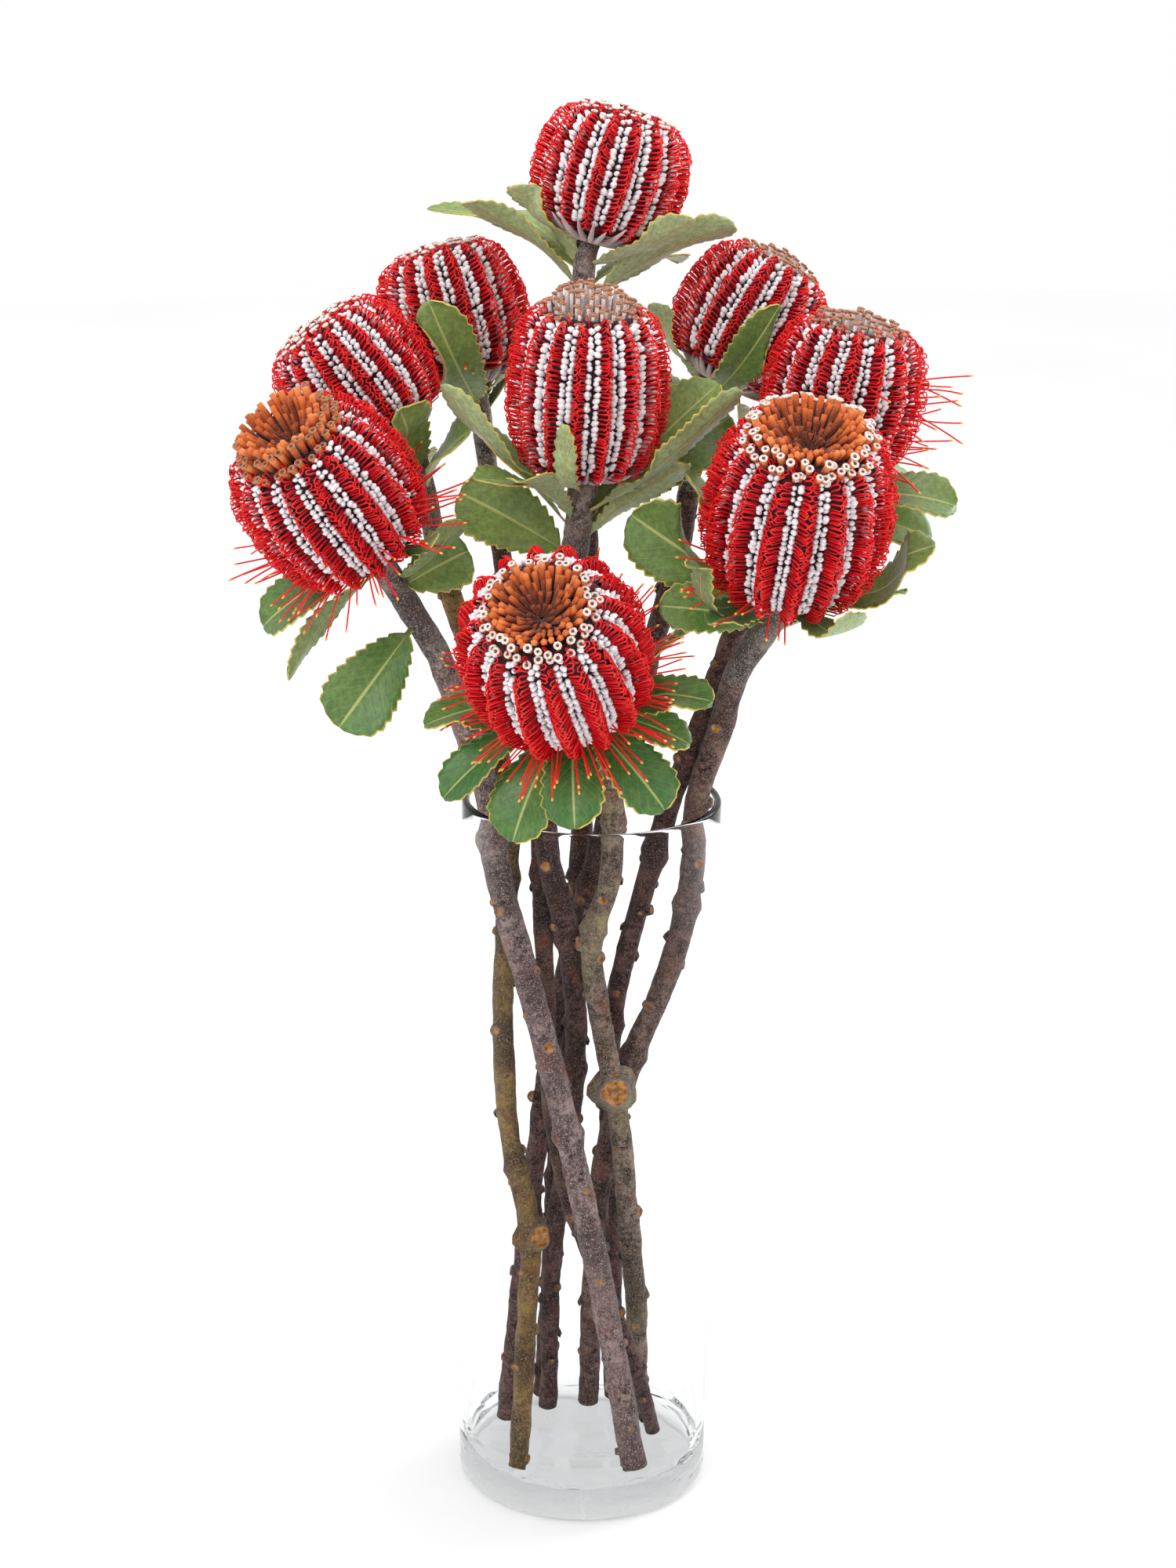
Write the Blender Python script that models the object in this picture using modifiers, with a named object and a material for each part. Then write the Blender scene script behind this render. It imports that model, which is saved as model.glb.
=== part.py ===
"""Scarlet banksia flowers in a clear glass cylinder vase.

Nine cut stems stand in an empty straight vase and fan out above its rim. Each stem is woody below
and ends in a leafy shoot, and each shoot carries one squat, barrel-shaped head. A head has a woolly
core with pale bead columns, scarlet columns of looped styles between them, and a rust-coloured crown
of unopened florets on top.

The origin is the centre of the vase's foot, +Z is up, and the bouquet's front looks along -Y.
"""

import math
import random

import bmesh
import bpy
from mathutils import Matrix, Vector

MM = 0.001

# Vase
VASE_RADIUS = 60 * MM
VASE_HEIGHT = 345 * MM
VASE_WALL = 3.5 * MM
VASE_FLOOR = 15 * MM
VASE_HEEL = 6 * MM
VASE_SIDES = 32

# Clearance left between pieces that touch
GAP = 0.35 * MM

# Heads, as shares of a head's largest radius and of its height
COLUMNS = 12
BEADS = 4
BEAD_RADIUS = 0.86
BEAD_DIP = 0.82
GROOVE_RADIUS = 0.77
STYLE_ROOT_RADIUS = 0.835
STYLE_DIP = 0.92
STYLE_HALF_WIDTH = math.radians(7.5)
STYLE_LIFT = 0.035
HEIGHT_STATIONS = [0.5, 0.97]
DISC_TOP = 0.10
DISC_RADIUS = 0.66
CROWN_RADIUS = 0.66
CROWN_FINGERS = 9
CROWN_RISE = 8 * MM
CROWN_DIP = 1.5 * MM

# Open styles that stand out round the foot of a head
OPEN_STYLE_RADIUS = 0.45 * MM
OPEN_STYLE_SIDES = 3
OPEN_STYLE_REACH = 6 * MM

# Room that leaves leave round a head, which is more where styles stand open
CLEARANCE = 4 * MM
OPEN_CLEARANCE = 11 * MM
CLEARANCE_POWER = 4

# Stems
TUBE_RESOLUTION = 1
STEM_STEP = 30 * MM
SHOOT_STEP = 15 * MM
SPLIT_LEAD = 2.5 * MM
KNOT_HALF_LENGTH = 4 * MM
KNOT_SWELL = 1.22
HEAD_LEAD = 16 * MM

# Leaves
LEAF_THICKNESS = 0.8 * MM
LEAF_TEETH = 3
SMALL_LEAF_TEETH = 2
SMALL_LEAF_WIDTH = 22
PETIOLE_SHARE = 0.14
PETIOLE_HALF_WIDTH = 1.3 * MM
NOTCH = 0.86
CUP = math.radians(14)

# Colours, roughness
GLASS = ("glass", (0.92, 0.96, 0.97), 0.05)
BARK = ("bark", (0.17, 0.11, 0.085), 0.85)
LEAF = ("leaf", (0.13, 0.22, 0.06), 0.55)
WOOL = ("wool", (0.74, 0.69, 0.72), 0.95)
STYLE = ("style", (0.65, 0.012, 0.015), 0.35)
CROWN = ("crown", (0.62, 0.19, 0.05), 0.9)


class Flower:
    """One cut flower: the way of its stem, its head and its leaves. Lengths are in millimetres.

    way: points of the stem's centreline from its cut end to below the head.
    base, axis: where the head sits and the way that it looks.
    radius, height: of the head. open_styles: how many straight styles stand out at its foot.
    stem_radius: at the cut end and below the head. shoot: length of the leafy part.
    knots: distances from the cut end where the wood swells.
    stubs: cut side branches, as (distance from the cut end, direction, radius, length).
    leaves: (distance below the head, tip, width, roll in degrees, bow as a share of the length).
    """

    def __init__(self, way, base, axis, radius, height, stem_radius, shoot, leaves, **more):
        self.way = [Vector(point) * MM for point in way]
        self.base = Vector(base) * MM
        self.axis = Vector(axis).normalized()
        self.radius = radius * MM
        self.height = height * MM
        self.foot_radius, self.neck_radius = (r * MM for r in stem_radius)
        self.shoot = shoot * MM
        self.leaves = leaves
        self.turn = math.radians(more.get("turn", 0))
        self.open_styles = more.get("open_styles", 0)
        self.knots = [d * MM for d in more.get("knots", ())]
        self.stubs = more.get("stubs", ())


FLOWERS = [
    Flower(
        way=[(-20, 41, 17), (-16, 40, 100), (-12, 38, 200), (-6, 38, 280), (-4, 38, 345), (-4, 37, 450), (-5, 36, 530)],
        base=(-3, 35, 600), axis=(0.26, 0.09, 0.96), radius=34, height=52,
        stem_radius=(4.9, 5.4), shoot=62, turn=4, knots=(120, 330),
        stubs=[(200, (1, -0.4, 0.4), 2.2, 8)],
        leaves=[
            (22, (-40, 10, 622), 18, 20, 0.10),
            (30, (-63, 20, 613), 17, 30, 0.10),
            (20, (-79, 58, 606), 15, 0, 0.08),
            (24, (-44, 78, 602), 20, 0, 0.10),
            (16, (41, 6, 610), 20, -25, -0.06),
            (33, (60, 20, 605), 25, -35, 0.06),
            (28, (38, 82, 580), 22, 0, 0.12),
            (18, (4, 88, 610), 20, 0, 0.10),
        ],
    ),
    Flower(
        way=[(35, 4, 17), (24, -8, 62), (6, -14, 112), (-8, -16, 150), (-16, -14, 190), (-19, -9, 235),
             (-22, 0, 280), (-24, 11, 318), (-26, 21, 350), (-35, 34, 405), (-47, 47, 465)],
        base=(-59, 58, 530), axis=(-0.274, 0.156, 0.949), radius=33, height=58,
        stem_radius=(3.8, 4.9), shoot=58, turn=10, open_styles=6, knots=(95, 300),
        stubs=[(250, (-0.6, -0.6, 0.5), 2.0, 7)],
        leaves=[
            (14, (-76, 6, 572), 26, -165, 0.16),
            (10, (-27, 28, 560), 10, 0, -0.08),
            (18, (-112, 88, 544), 22, 0, 0.10),
            (26, (-62, 114, 538), 24, 0, 0.10),
            (22, (-14, 92, 542), 22, 0, 0.10),
        ],
    ),
    Flower(
        way=[(-30, -33, 17), (-27, -28, 90), (-26, -20, 136), (-36, -14, 180), (-40, -7, 235), (-39, 5, 290),
             (-39, 14, 330), (-42, 16, 352), (-56, 13, 405), (-71, 8, 455)],
        base=(-91, 3, 515), axis=(-0.602, -0.03, 0.798), radius=33, height=56,
        stem_radius=(4.7, 5.1), shoot=60, turn=0, knots=(150, 290),
        stubs=[(116, (0.6, -0.8, 0.25), 5.6, 8)],
        leaves=[
            (30, (-86, -34, 531), 28, -140, -0.06),
            (36, (-56, -12, 517), 26, 20, 0.10),
            (24, (-84, 62, 482), 22, 0, 0.10),
            (22, (-116, 58, 492), 24, 0, 0.12),
            (20, (-138, 26, 478), 20, 0, 0.12),
        ],
    ),
    Flower(
        way=[(25, -31, 17), (9, -31, 107), (-4, -31, 168), (-13, -31, 207), (-24, -29, 250), (-36, -23, 290),
             (-44, -13, 321), (-47.5, -6, 345), (-58, -9, 379), (-70, -18, 415)],
        base=(-100, -40, 471), axis=(-0.471, -0.412, 0.78), radius=38, height=67,
        stem_radius=(6.2, 5.9), shoot=66, turn=6, open_styles=9, knots=(175, 320),
        stubs=[(220, (0.2, -1, 0.3), 2.4, 8), (285, (-0.5, -0.8, 0.4), 2.2, 8.5)],
        leaves=[
            (13, (-80, -64, 486), 13, 60, 0.00),
            (22, (-60, -52, 486), 16, -50, -0.10),
            (28, (-56, -30, 467), 28, 50, 0.08),
            (8, (-147, -35, 432), 25, -20, 0.10),
            (15, (-134, -58, 414), 14, 70, 0.10),
            (46, (-113, -46, 389), 32, -55, 0.06),
            (14, (-122, 2, 452), 24, 0, 0.12),
        ],
    ),
    Flower(
        way=[(-17, 28, 17), (-16, 24, 101), (-11, 18, 146), (-7, 12, 190), (-6, 7, 233), (-10, -1, 274),
             (-19, -8, 315), (-22, -11, 345), (-19, -12, 391), (-12, -14, 443)],
        base=(-6, -20, 504), axis=(0.04, -0.13, 0.991), radius=34.5, height=71,
        stem_radius=(4.4, 6.3), shoot=72, turn=9, open_styles=0, knots=(190, 262),
        stubs=[(300, (-0.3, -0.9, 0.3), 2.4, 7.5)],
        leaves=[
            (12, (-14, -66, 531), 10, 0, -0.14),
            (24, (-68, -36, 542), 18, 30, -0.05),
            (24, (61, -54, 545), 16, -35, -0.05),
            (19, (-53, -50, 503), 20, 0, 0.05),
            (29, (-34, -68, 506), 18, 20, 0.10),
            (38, (40, -34, 508), 17, -50, 0.06),
            (43, (-61, -20, 491), 33, -60, 0.06),
            (26, (54, 0, 538), 26, 25, 0.02),
            (31, (60, 18, 520), 30, 40, 0.04),
            (33, (-66, 6, 525), 24, 10, 0.02),
        ],
    ),
    Flower(
        way=[(-38, 16, 17), (-31, 16, 90), (-25, 18, 150), (-18, 21, 210), (-9, 23, 260), (1, 23, 300),
             (12, 24, 345), (25, 29, 400), (40, 39, 460)],
        base=(55, 50, 535), axis=(0.485, 0.164, 0.859), radius=33, height=55,
        stem_radius=(5.0, 4.9), shoot=58, turn=3, knots=(110, 280),
        stubs=[(170, (-0.8, -0.5, 0.3), 2.4, 8)],
        leaves=[
            (16, (80, 4, 573), 20, 160, 0.16),
            (12, (23, 33, 568), 12, 30, 0.04),
            (27, (64, 102, 544), 24, 0, 0.04),
            (22, (108, 80, 538), 22, 0, 0.04),
            (26, (18, 78, 530), 22, 0, 0.10),
        ],
    ),
    Flower(
        way=[(16, 40, 17), (14, 34, 80), (12, 30, 140), (11, 28, 211), (15, 26, 245), (22, 20, 279),
             (30, 11, 313), (38, 6, 345), (50, 0, 382), (62, -2, 419), (77, -4, 457)],
        base=(103, -5, 506), axis=(0.199, 0.0, 0.98), radius=34.5, height=60,
        stem_radius=(4.9, 5.1), shoot=64, turn=7, open_styles=9, knots=(205, 300),
        stubs=[(268, (0.9, -0.4, 0.2), 2.2, 7.5)],
        leaves=[
            (22, (161, -10, 486), 28, 30, 0.10),
            (30, (151, -5, 470), 28, 35, 0.10),
            (14, (58, 12, 528), 18, 10, 0.12),
            (20, (122, 52, 500), 24, 0, 0.12),
            (28, (150, 36, 486), 22, 0, 0.12),
        ],
    ),
    Flower(
        way=[(3, 34, 17), (4, 20, 80), (6, 10, 130), (9, 9, 160), (15, 10, 187), (24, 12, 218), (35, 12, 246),
             (44, 9, 279), (48, 4, 312), (49, 0, 345), (58, -11, 381), (66, -25, 415)],
        base=(83, -50, 460), axis=(0.091, -0.419, 0.904), radius=40, height=77,
        stem_radius=(5.1, 6.0), shoot=64, turn=0, open_styles=6, knots=(200, 282),
        stubs=[(110, (-0.3, -0.9, 0.3), 4.2, 7.5), (304, (0.3, -0.9, 0.2), 2.4, 8)],
        leaves=[
            (18, (15, -46, 488), 33, -60, 0.04),
            (14, (38, -100, 478), 13, 20, 0.04),
            (20, (49, -90, 450), 15, 20, 0.05),
            (25, (28, -58, 450), 22, -30, 0.10),
            (13, (110, -98, 458), 15, 10, 0.06),
            (37, (135, -66, 460), 17, -40, 0.03),
            (17, (147, -62, 480), 23, 15, 0.04),
            (27, (31, -13, 507), 24, 30, 0.06),
            (18, (110, -2, 448), 22, 0, 0.12),
        ],
    ),
    Flower(
        way=[(27, 22, 17), (26, 10, 75), (21, 0, 130), (16, -5, 181), (11, -6, 209), (4, -5, 247), (1, -7, 277),
             (9, -13, 309), (10, -24, 344), (6, -36, 375), (-2, -50, 400)],
        base=(-10, -65, 411), axis=(-0.172, -0.719, 0.674), radius=40, height=76,
        stem_radius=(5.3, 5.1), shoot=40, turn=5, open_styles=12, knots=(270, 330),
        stubs=[(188, (0.1, -1, 0.15), 6.8, 8), (262, (-0.9, -0.4, 0.2), 3.0, 7.5)],
        leaves=[
            (8, (-74, -66, 396), 28, 30, 0.08),
            (12, (-65, -76, 366), 22, 15, 0.10),
            (14, (-34, -84, 349), 30, 10, 0.08),
            (10, (-7, -98, 360), 27, 0, 0.08),
            (12, (32, -88, 366), 27, -10, 0.08),
            (8, (52, -80, 413), 24, -25, 0.08),
            (14, (43, -68, 390), 20, -15, 0.10),
            (27, (42, -52, 438), 22, -30, 0.02),
        ],
    ),
]


def material(look):
    """The material of that name, made once. A look is (name, colour, roughness)."""
    name, colour, roughness = look
    found = bpy.data.materials.get(name)
    if found:
        return found
    made = bpy.data.materials.new(name)
    made.use_nodes = True
    shader = made.node_tree.nodes["Principled BSDF"]
    shader.inputs["Base Color"].default_value = (*colour, 1)
    shader.inputs["Roughness"].default_value = roughness
    if name == "glass":
        shader.inputs["Transmission Weight"].default_value = 1
    return made


def collection(name, hidden=False):
    made = bpy.data.collections.new(name)
    bpy.context.scene.collection.children.link(made)
    made.hide_render = hidden
    return made


def mesh_object(name, points, faces, look, into):
    mesh = bpy.data.meshes.new(name)
    mesh.from_pydata(points, [], faces)
    mesh.materials.append(material(look))
    made = bpy.data.objects.new(name, mesh)
    into.objects.link(made)
    return made


def strip(first, first_at, second, second_at):
    """Triangles between two lines of point numbers. Each line has its own parameters, which grow along it."""
    faces = []
    i = j = 0
    while i < len(first) - 1 or j < len(second) - 1:
        at_end = j == len(second) - 1
        if at_end or (i < len(first) - 1 and first_at[i + 1] <= second_at[j + 1]):
            faces.append((first[i], first[i + 1], second[j]))
            i += 1
        else:
            faces.append((first[i], second[j + 1], second[j]))
            j += 1
    return faces


def barrel(t):
    """A head's radius as a share of its largest one, at a share t of its height."""
    if t < 0.5:
        return 1 - 0.36 * abs(1 - t / 0.5) ** 2.2
    return 1 - 0.20 * ((t - 0.5) / 0.5) ** 2


def ring_point(radius, angle, height):
    return Vector((radius * math.cos(angle), radius * math.sin(angle), height))


def zigzag(first, last, teeth):
    """Parameters from first to last of a line of teeth, each with whether it is a peak."""
    count = 2 * teeth + 1
    return [(first + (last - first) * k / (count - 1), k % 2 == 1) for k in range(count)]


def wool(flower, name, into):
    """The core of a head: a barrel with a bead column between each two grooves."""
    radius, height = flower.radius, flower.height
    points, lines = [], []
    bead_at = zigzag(DISC_TOP, 1.0, BEADS)
    groove_at = [DISC_TOP, *HEIGHT_STATIONS[:-1], 1.0]
    for k in range(2 * COLUMNS):
        angle = math.pi * k / COLUMNS
        if k % 2 == 0:
            line = [(BEAD_RADIUS if peak else BEAD_DIP, t) for t, peak in bead_at]
        else:
            line = [(GROOVE_RADIUS, t) for t in groove_at]
        start = len(points)
        points += [ring_point(share * radius * barrel(t), angle, t * height) for share, t in line]
        lines.append((list(range(start, len(points))), [t for _, t in line]))
    faces = []
    for k, (line, at) in enumerate(lines):
        following, following_at = lines[(k + 1) % len(lines)]
        faces += strip(following, following_at, line, at)
    faces.append(tuple(line[-1] for line, _ in lines))
    faces.append(tuple(line[0] for line, _ in reversed(lines)))
    return mesh_object(name, points, faces, WOOL, into)


def turned(name, profile, sides, look, into):
    """A solid of revolution. The profile is (radius, height) pairs, down the outer side."""
    mesh = bpy.data.meshes.new(name)
    edges = [(k, k + 1) for k in range(len(profile) - 1)]
    closed = profile[0][0] > 0 and profile[-1][0] > 0
    if closed:
        edges.append((len(profile) - 1, 0))
    mesh.from_pydata([(r, 0, z) for r, z in profile], edges, [])
    mesh.materials.append(material(look))
    made = bpy.data.objects.new(name, mesh)
    into.objects.link(made)
    screw = made.modifiers.new("Turn", "SCREW")
    screw.steps = screw.render_steps = sides
    screw.use_merge_vertices = True
    screw.merge_threshold = 0.00001
    return made


def needle(start, end, radius, look, into):
    """A slim pointed bar from start to end."""
    way = end - start
    mesh = bpy.data.meshes.new("needle")
    shape = bmesh.new()
    bmesh.ops.create_cone(
        shape, cap_ends=True, segments=OPEN_STYLE_SIDES, radius1=radius * 1.2, radius2=radius * 0.8,
        depth=way.length,
    )
    shape.to_mesh(mesh)
    shape.free()
    mesh.materials.append(material(look))
    made = bpy.data.objects.new("needle", mesh)
    made.matrix_world = Matrix.Translation((start + end) / 2) @ way.to_track_quat("Z", "Y").to_matrix().to_4x4()
    into.objects.link(made)
    return made


def style_cage(flower, name, into):
    """A disc under the beads with a column in each groove, which is a bar whose outer edge is saw-toothed.

    Each tooth stands for a rise of looped styles. The columns' roots are the corners of the disc.
    """
    radius, height = flower.radius, flower.height
    disc_top = DISC_TOP - GAP / height
    root_at = [disc_top, *HEIGHT_STATIONS]
    outer_at = zigzag(0.03, HEIGHT_STATIONS[-1], BEADS)
    points, faces = [], []
    foot, rim = [], []
    for k in range(COLUMNS):
        middle = math.pi * (2 * k + 1) / COLUMNS
        roots = []
        for side in (-1, 1):
            angle = middle + side * STYLE_HALF_WIDTH
            start = len(points)
            points.append(ring_point(DISC_RADIUS * radius * 0.9, angle, 0.0))
            points += [
                ring_point(STYLE_ROOT_RADIUS * radius * barrel(t), angle, t * height) for t in root_at
            ]
            roots.append(list(range(start, len(points))))
            foot.append(start)
            rim.append(start + 1)
        start = len(points)
        for t, peak in outer_at:
            share = 1.0 if peak else STYLE_DIP
            lift = STYLE_LIFT if peak else 0.0
            points.append(ring_point(share * radius * barrel(t), middle, (t + lift) * height))
        outer = list(range(start, len(points)))
        outer_only = [t for t, _ in outer_at]
        right, left = roots
        faces += strip(outer, outer_only, right, [0.0, *root_at])
        faces += strip(left, [0.0, *root_at], outer, outer_only)
        faces += strip(right[1:], root_at, left[1:], root_at)
        faces += [(outer[0], right[0], left[0]), (outer[-1], left[-1], right[-1])]
    count = len(foot)
    for k in range(1, count, 2):
        n = (k + 1) % count
        faces += [(foot[k], foot[n], rim[n]), (foot[k], rim[n], rim[k])]
    faces.append(tuple(rim))
    faces.append(tuple(reversed(foot)))
    return mesh_object(name, points, faces, STYLE, into)


def styles(flower, name, into, cutters):
    """The scarlet piece of a head: its cage of columns, with open styles round the foot."""
    cage = style_cage(flower, name, into)
    pieces = []
    draw = random.Random(flower.open_styles)
    for k in range(flower.open_styles):
        angle = 2 * math.pi * (k + 0.1 + 0.3 * draw.random()) / flower.open_styles
        start = ring_point(0.85 * DISC_RADIUS * flower.radius, angle, 0.35 * DISC_TOP * flower.height)
        reach = flower.radius + OPEN_STYLE_REACH
        end = ring_point(reach, angle, draw.uniform(0.18, 0.32) * flower.height)
        pieces.append(needle(start, end, OPEN_STYLE_RADIUS, STYLE, cutters))
    return union(cage, pieces, into)


def crown(flower, name, into):
    """The unopened florets: fingers that spread from a dip in the middle and rise to a ring of tips."""
    radius = CROWN_RADIUS * flower.radius
    floor = flower.height + GAP
    count = 2 * CROWN_FINGERS
    middle = floor + CROWN_DIP
    points = [Vector((0, 0, middle)), Vector((0, 0, floor))]
    rings = []
    for share, ridge, dip in ((0.4, 0.40, 0.28), (0.85, 1.0, 0.76), (1.12, 0.66, 0.42)):
        line = []
        for k in range(count):
            high = k % 2 == 0
            lift = CROWN_DIP * 0.6 + CROWN_RISE * (ridge if high else dip)
            reach = share if high else share * 0.93
            line.append(len(points))
            points.append(ring_point(radius * reach, math.pi * k / CROWN_FINGERS, floor + lift))
        rings.append(line)
    base = []
    for k in range(count):
        base.append(len(points))
        points.append(ring_point(radius * 0.9, math.pi * k / CROWN_FINGERS, floor))
    rings.append(base)
    faces = []
    for k in range(count):
        n = (k + 1) % count
        faces.append((0, rings[0][k], rings[0][n]))
        faces.append((1, base[n], base[k]))
        for inner, outer in zip(rings, rings[1:]):
            faces += [(inner[k], outer[k], outer[n]), (inner[k], outer[n], inner[n])]
    return mesh_object(name, points, faces, CROWN, into)


def as_mesh(made, into):
    """A curve object's evaluated shape as a mesh object with its caps welded."""
    graph = bpy.context.evaluated_depsgraph_get()
    mesh = bpy.data.meshes.new_from_object(made.evaluated_get(graph))
    shape = bmesh.new()
    shape.from_mesh(mesh)
    bmesh.ops.remove_doubles(shape, verts=shape.verts, dist=0.00001)
    bmesh.ops.recalc_face_normals(shape, faces=shape.faces)
    shape.to_mesh(mesh)
    shape.free()
    name = made.name
    world = made.matrix_world.copy()
    bpy.data.objects.remove(made)
    new = bpy.data.objects.new(name, mesh)
    new.matrix_world = world
    into.objects.link(new)
    return new


def union(body, pieces, into):
    """Joins the pieces to the body by one Boolean, applies it and removes them."""
    if not pieces:
        return body
    tools = bpy.data.collections.new("pieces_to_join")
    bpy.context.scene.collection.children.link(tools)
    for piece in pieces:
        for owner in list(piece.users_collection):
            owner.objects.unlink(piece)
        tools.objects.link(piece)
    join = body.modifiers.new("Join", "BOOLEAN")
    join.operation = "UNION"
    join.operand_type = "COLLECTION"
    join.collection = tools
    join.solver = "MANIFOLD"
    bpy.context.view_layer.update()
    graph = bpy.context.evaluated_depsgraph_get()
    mesh = bpy.data.meshes.new_from_object(body.evaluated_get(graph))
    body.modifiers.clear()
    body.data = mesh
    for piece in pieces:
        bpy.data.objects.remove(piece)
    bpy.data.collections.remove(tools)
    return body


def smooth_way(knots, step):
    """Points about a step apart on a Catmull-Rom curve through the knots."""
    ends = [2 * knots[0] - knots[1], *knots, 2 * knots[-1] - knots[-2]]
    dense = []
    for a, b, c, d in zip(ends, ends[1:], ends[2:], ends[3:]):
        for k in range(20):
            t = k / 20
            dense.append(
                0.5 * (2 * b + (c - a) * t + (2 * a - 5 * b + 4 * c - d) * t * t + (3 * b - a - 3 * c + d) * t ** 3)
            )
    dense.append(knots[-1])
    at = [0.0]
    for one, other in zip(dense, dense[1:]):
        at.append(at[-1] + (other - one).length)
    return dense, at


def on_way(dense, at, distance):
    """The point at that distance along the way, and the direction there."""
    distance = min(max(distance, 0.0), at[-1])
    k = next((i for i in range(1, len(at)) if at[i] >= distance), len(at) - 1)
    share = (distance - at[k - 1]) / max(at[k] - at[k - 1], 1e-9)
    return dense[k - 1].lerp(dense[k], share), (dense[k] - dense[k - 1]).normalized()


def flower_way(flower):
    lead = flower.base - flower.axis * HEAD_LEAD
    return smooth_way([*flower.way, lead, flower.base], STEM_STEP)


def tube(name, centres, radii, look, into):
    """A bar of changing thickness along a line of points."""
    curve = bpy.data.curves.new(name, "CURVE")
    curve.dimensions = "3D"
    curve.bevel_depth = 1.0
    curve.bevel_resolution = TUBE_RESOLUTION
    curve.use_fill_caps = True
    curve.twist_mode = "MINIMUM"
    spline = curve.splines.new("POLY")
    spline.points.add(len(centres) - 1)
    for point, centre, radius in zip(spline.points, centres, radii):
        point.co = (*centre, 1)
        point.radius = radius
    curve.materials.append(material(look))
    made = bpy.data.objects.new(name, curve)
    into.objects.link(made)
    return as_mesh(made, into)


def spread(first, last, step, knots=()):
    """Distances from first to last about a step apart, with three more at each knot."""
    count = max(2, round((last - first) / step) + 1)
    plain = [first + (last - first) * k / (count - 1) for k in range(count)]
    inside = [k for k in knots if first + 2 * KNOT_HALF_LENGTH < k < last - 2 * KNOT_HALF_LENGTH]
    kept = [d for d in plain if all(abs(d - k) > 1.6 * KNOT_HALF_LENGTH for k in inside)]
    for k in inside:
        kept += [k - KNOT_HALF_LENGTH, k, k + KNOT_HALF_LENGTH]
    return sorted(kept)


def clear_of_heads(point, flower):
    """The point, moved out of the room round any head that it is in."""
    for other in FLOWERS:
        room = OPEN_CLEARANCE if other.open_styles and other is flower else CLEARANCE
        centre = other.base + other.axis * 0.5 * (other.height + CROWN_RISE)
        away = point - centre
        along = away.dot(other.axis)
        across = (away - other.axis * along).length
        share = (
            (abs(along) / (0.5 * (other.height + CROWN_RISE) + CLEARANCE)) ** CLEARANCE_POWER
            + (across / (other.radius + room)) ** CLEARANCE_POWER
        ) ** (1 / CLEARANCE_POWER)
        if share < 1:
            point = centre + away / share
    return point


def stem_radius(flower, share):
    return flower.foot_radius + (flower.neck_radius - flower.foot_radius) * share


def stem(flower, name, into, cutters):
    """The woody part, from the cut end to the leafy shoot, with its knots and cut side branches."""
    dense, at = flower_way(flower)
    end = at[-1] - flower.shoot - GAP
    distances = [*spread(0.0, end, STEM_STEP, flower.knots), end]
    distances[-2] = end - SPLIT_LEAD
    centres = [on_way(dense, at, d)[0] for d in distances]
    radii = [
        stem_radius(flower, d / at[-1]) * (KNOT_SWELL if d in flower.knots else 1.0)
        for d in distances
    ]
    body = tube(name, centres, radii, BARK, into)
    stubs = []
    for distance, direction, radius, length in flower.stubs:
        centre, _ = on_way(dense, at, distance * MM)
        way = Vector(direction).normalized() * length * MM
        mesh = bpy.data.meshes.new("stub")
        shape = bmesh.new()
        bmesh.ops.create_cone(
            shape, cap_ends=True, segments=8 if radius > 4 else 6, radius1=radius * MM,
            radius2=radius * 0.94 * MM, depth=way.length,
        )
        shape.to_mesh(mesh)
        shape.free()
        mesh.materials.append(material(BARK))
        stub = bpy.data.objects.new("stub", mesh)
        turn = way.to_track_quat("Z", "Y").to_matrix().to_4x4()
        stub.matrix_world = Matrix.Translation(centre + way / 2) @ turn
        cutters.objects.link(stub)
        stubs.append(stub)
    return union(body, stubs, into)


def leaf_half_width(share):
    """Half the blade's width as a share of the full half width, at a share of the leaf's length."""
    u = (share - PETIOLE_SHARE) / (1 - PETIOLE_SHARE)
    if u <= 0:
        return 0.0
    return 1.2 * u ** 0.45 * (1 - u ** 5) ** 0.6


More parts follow.
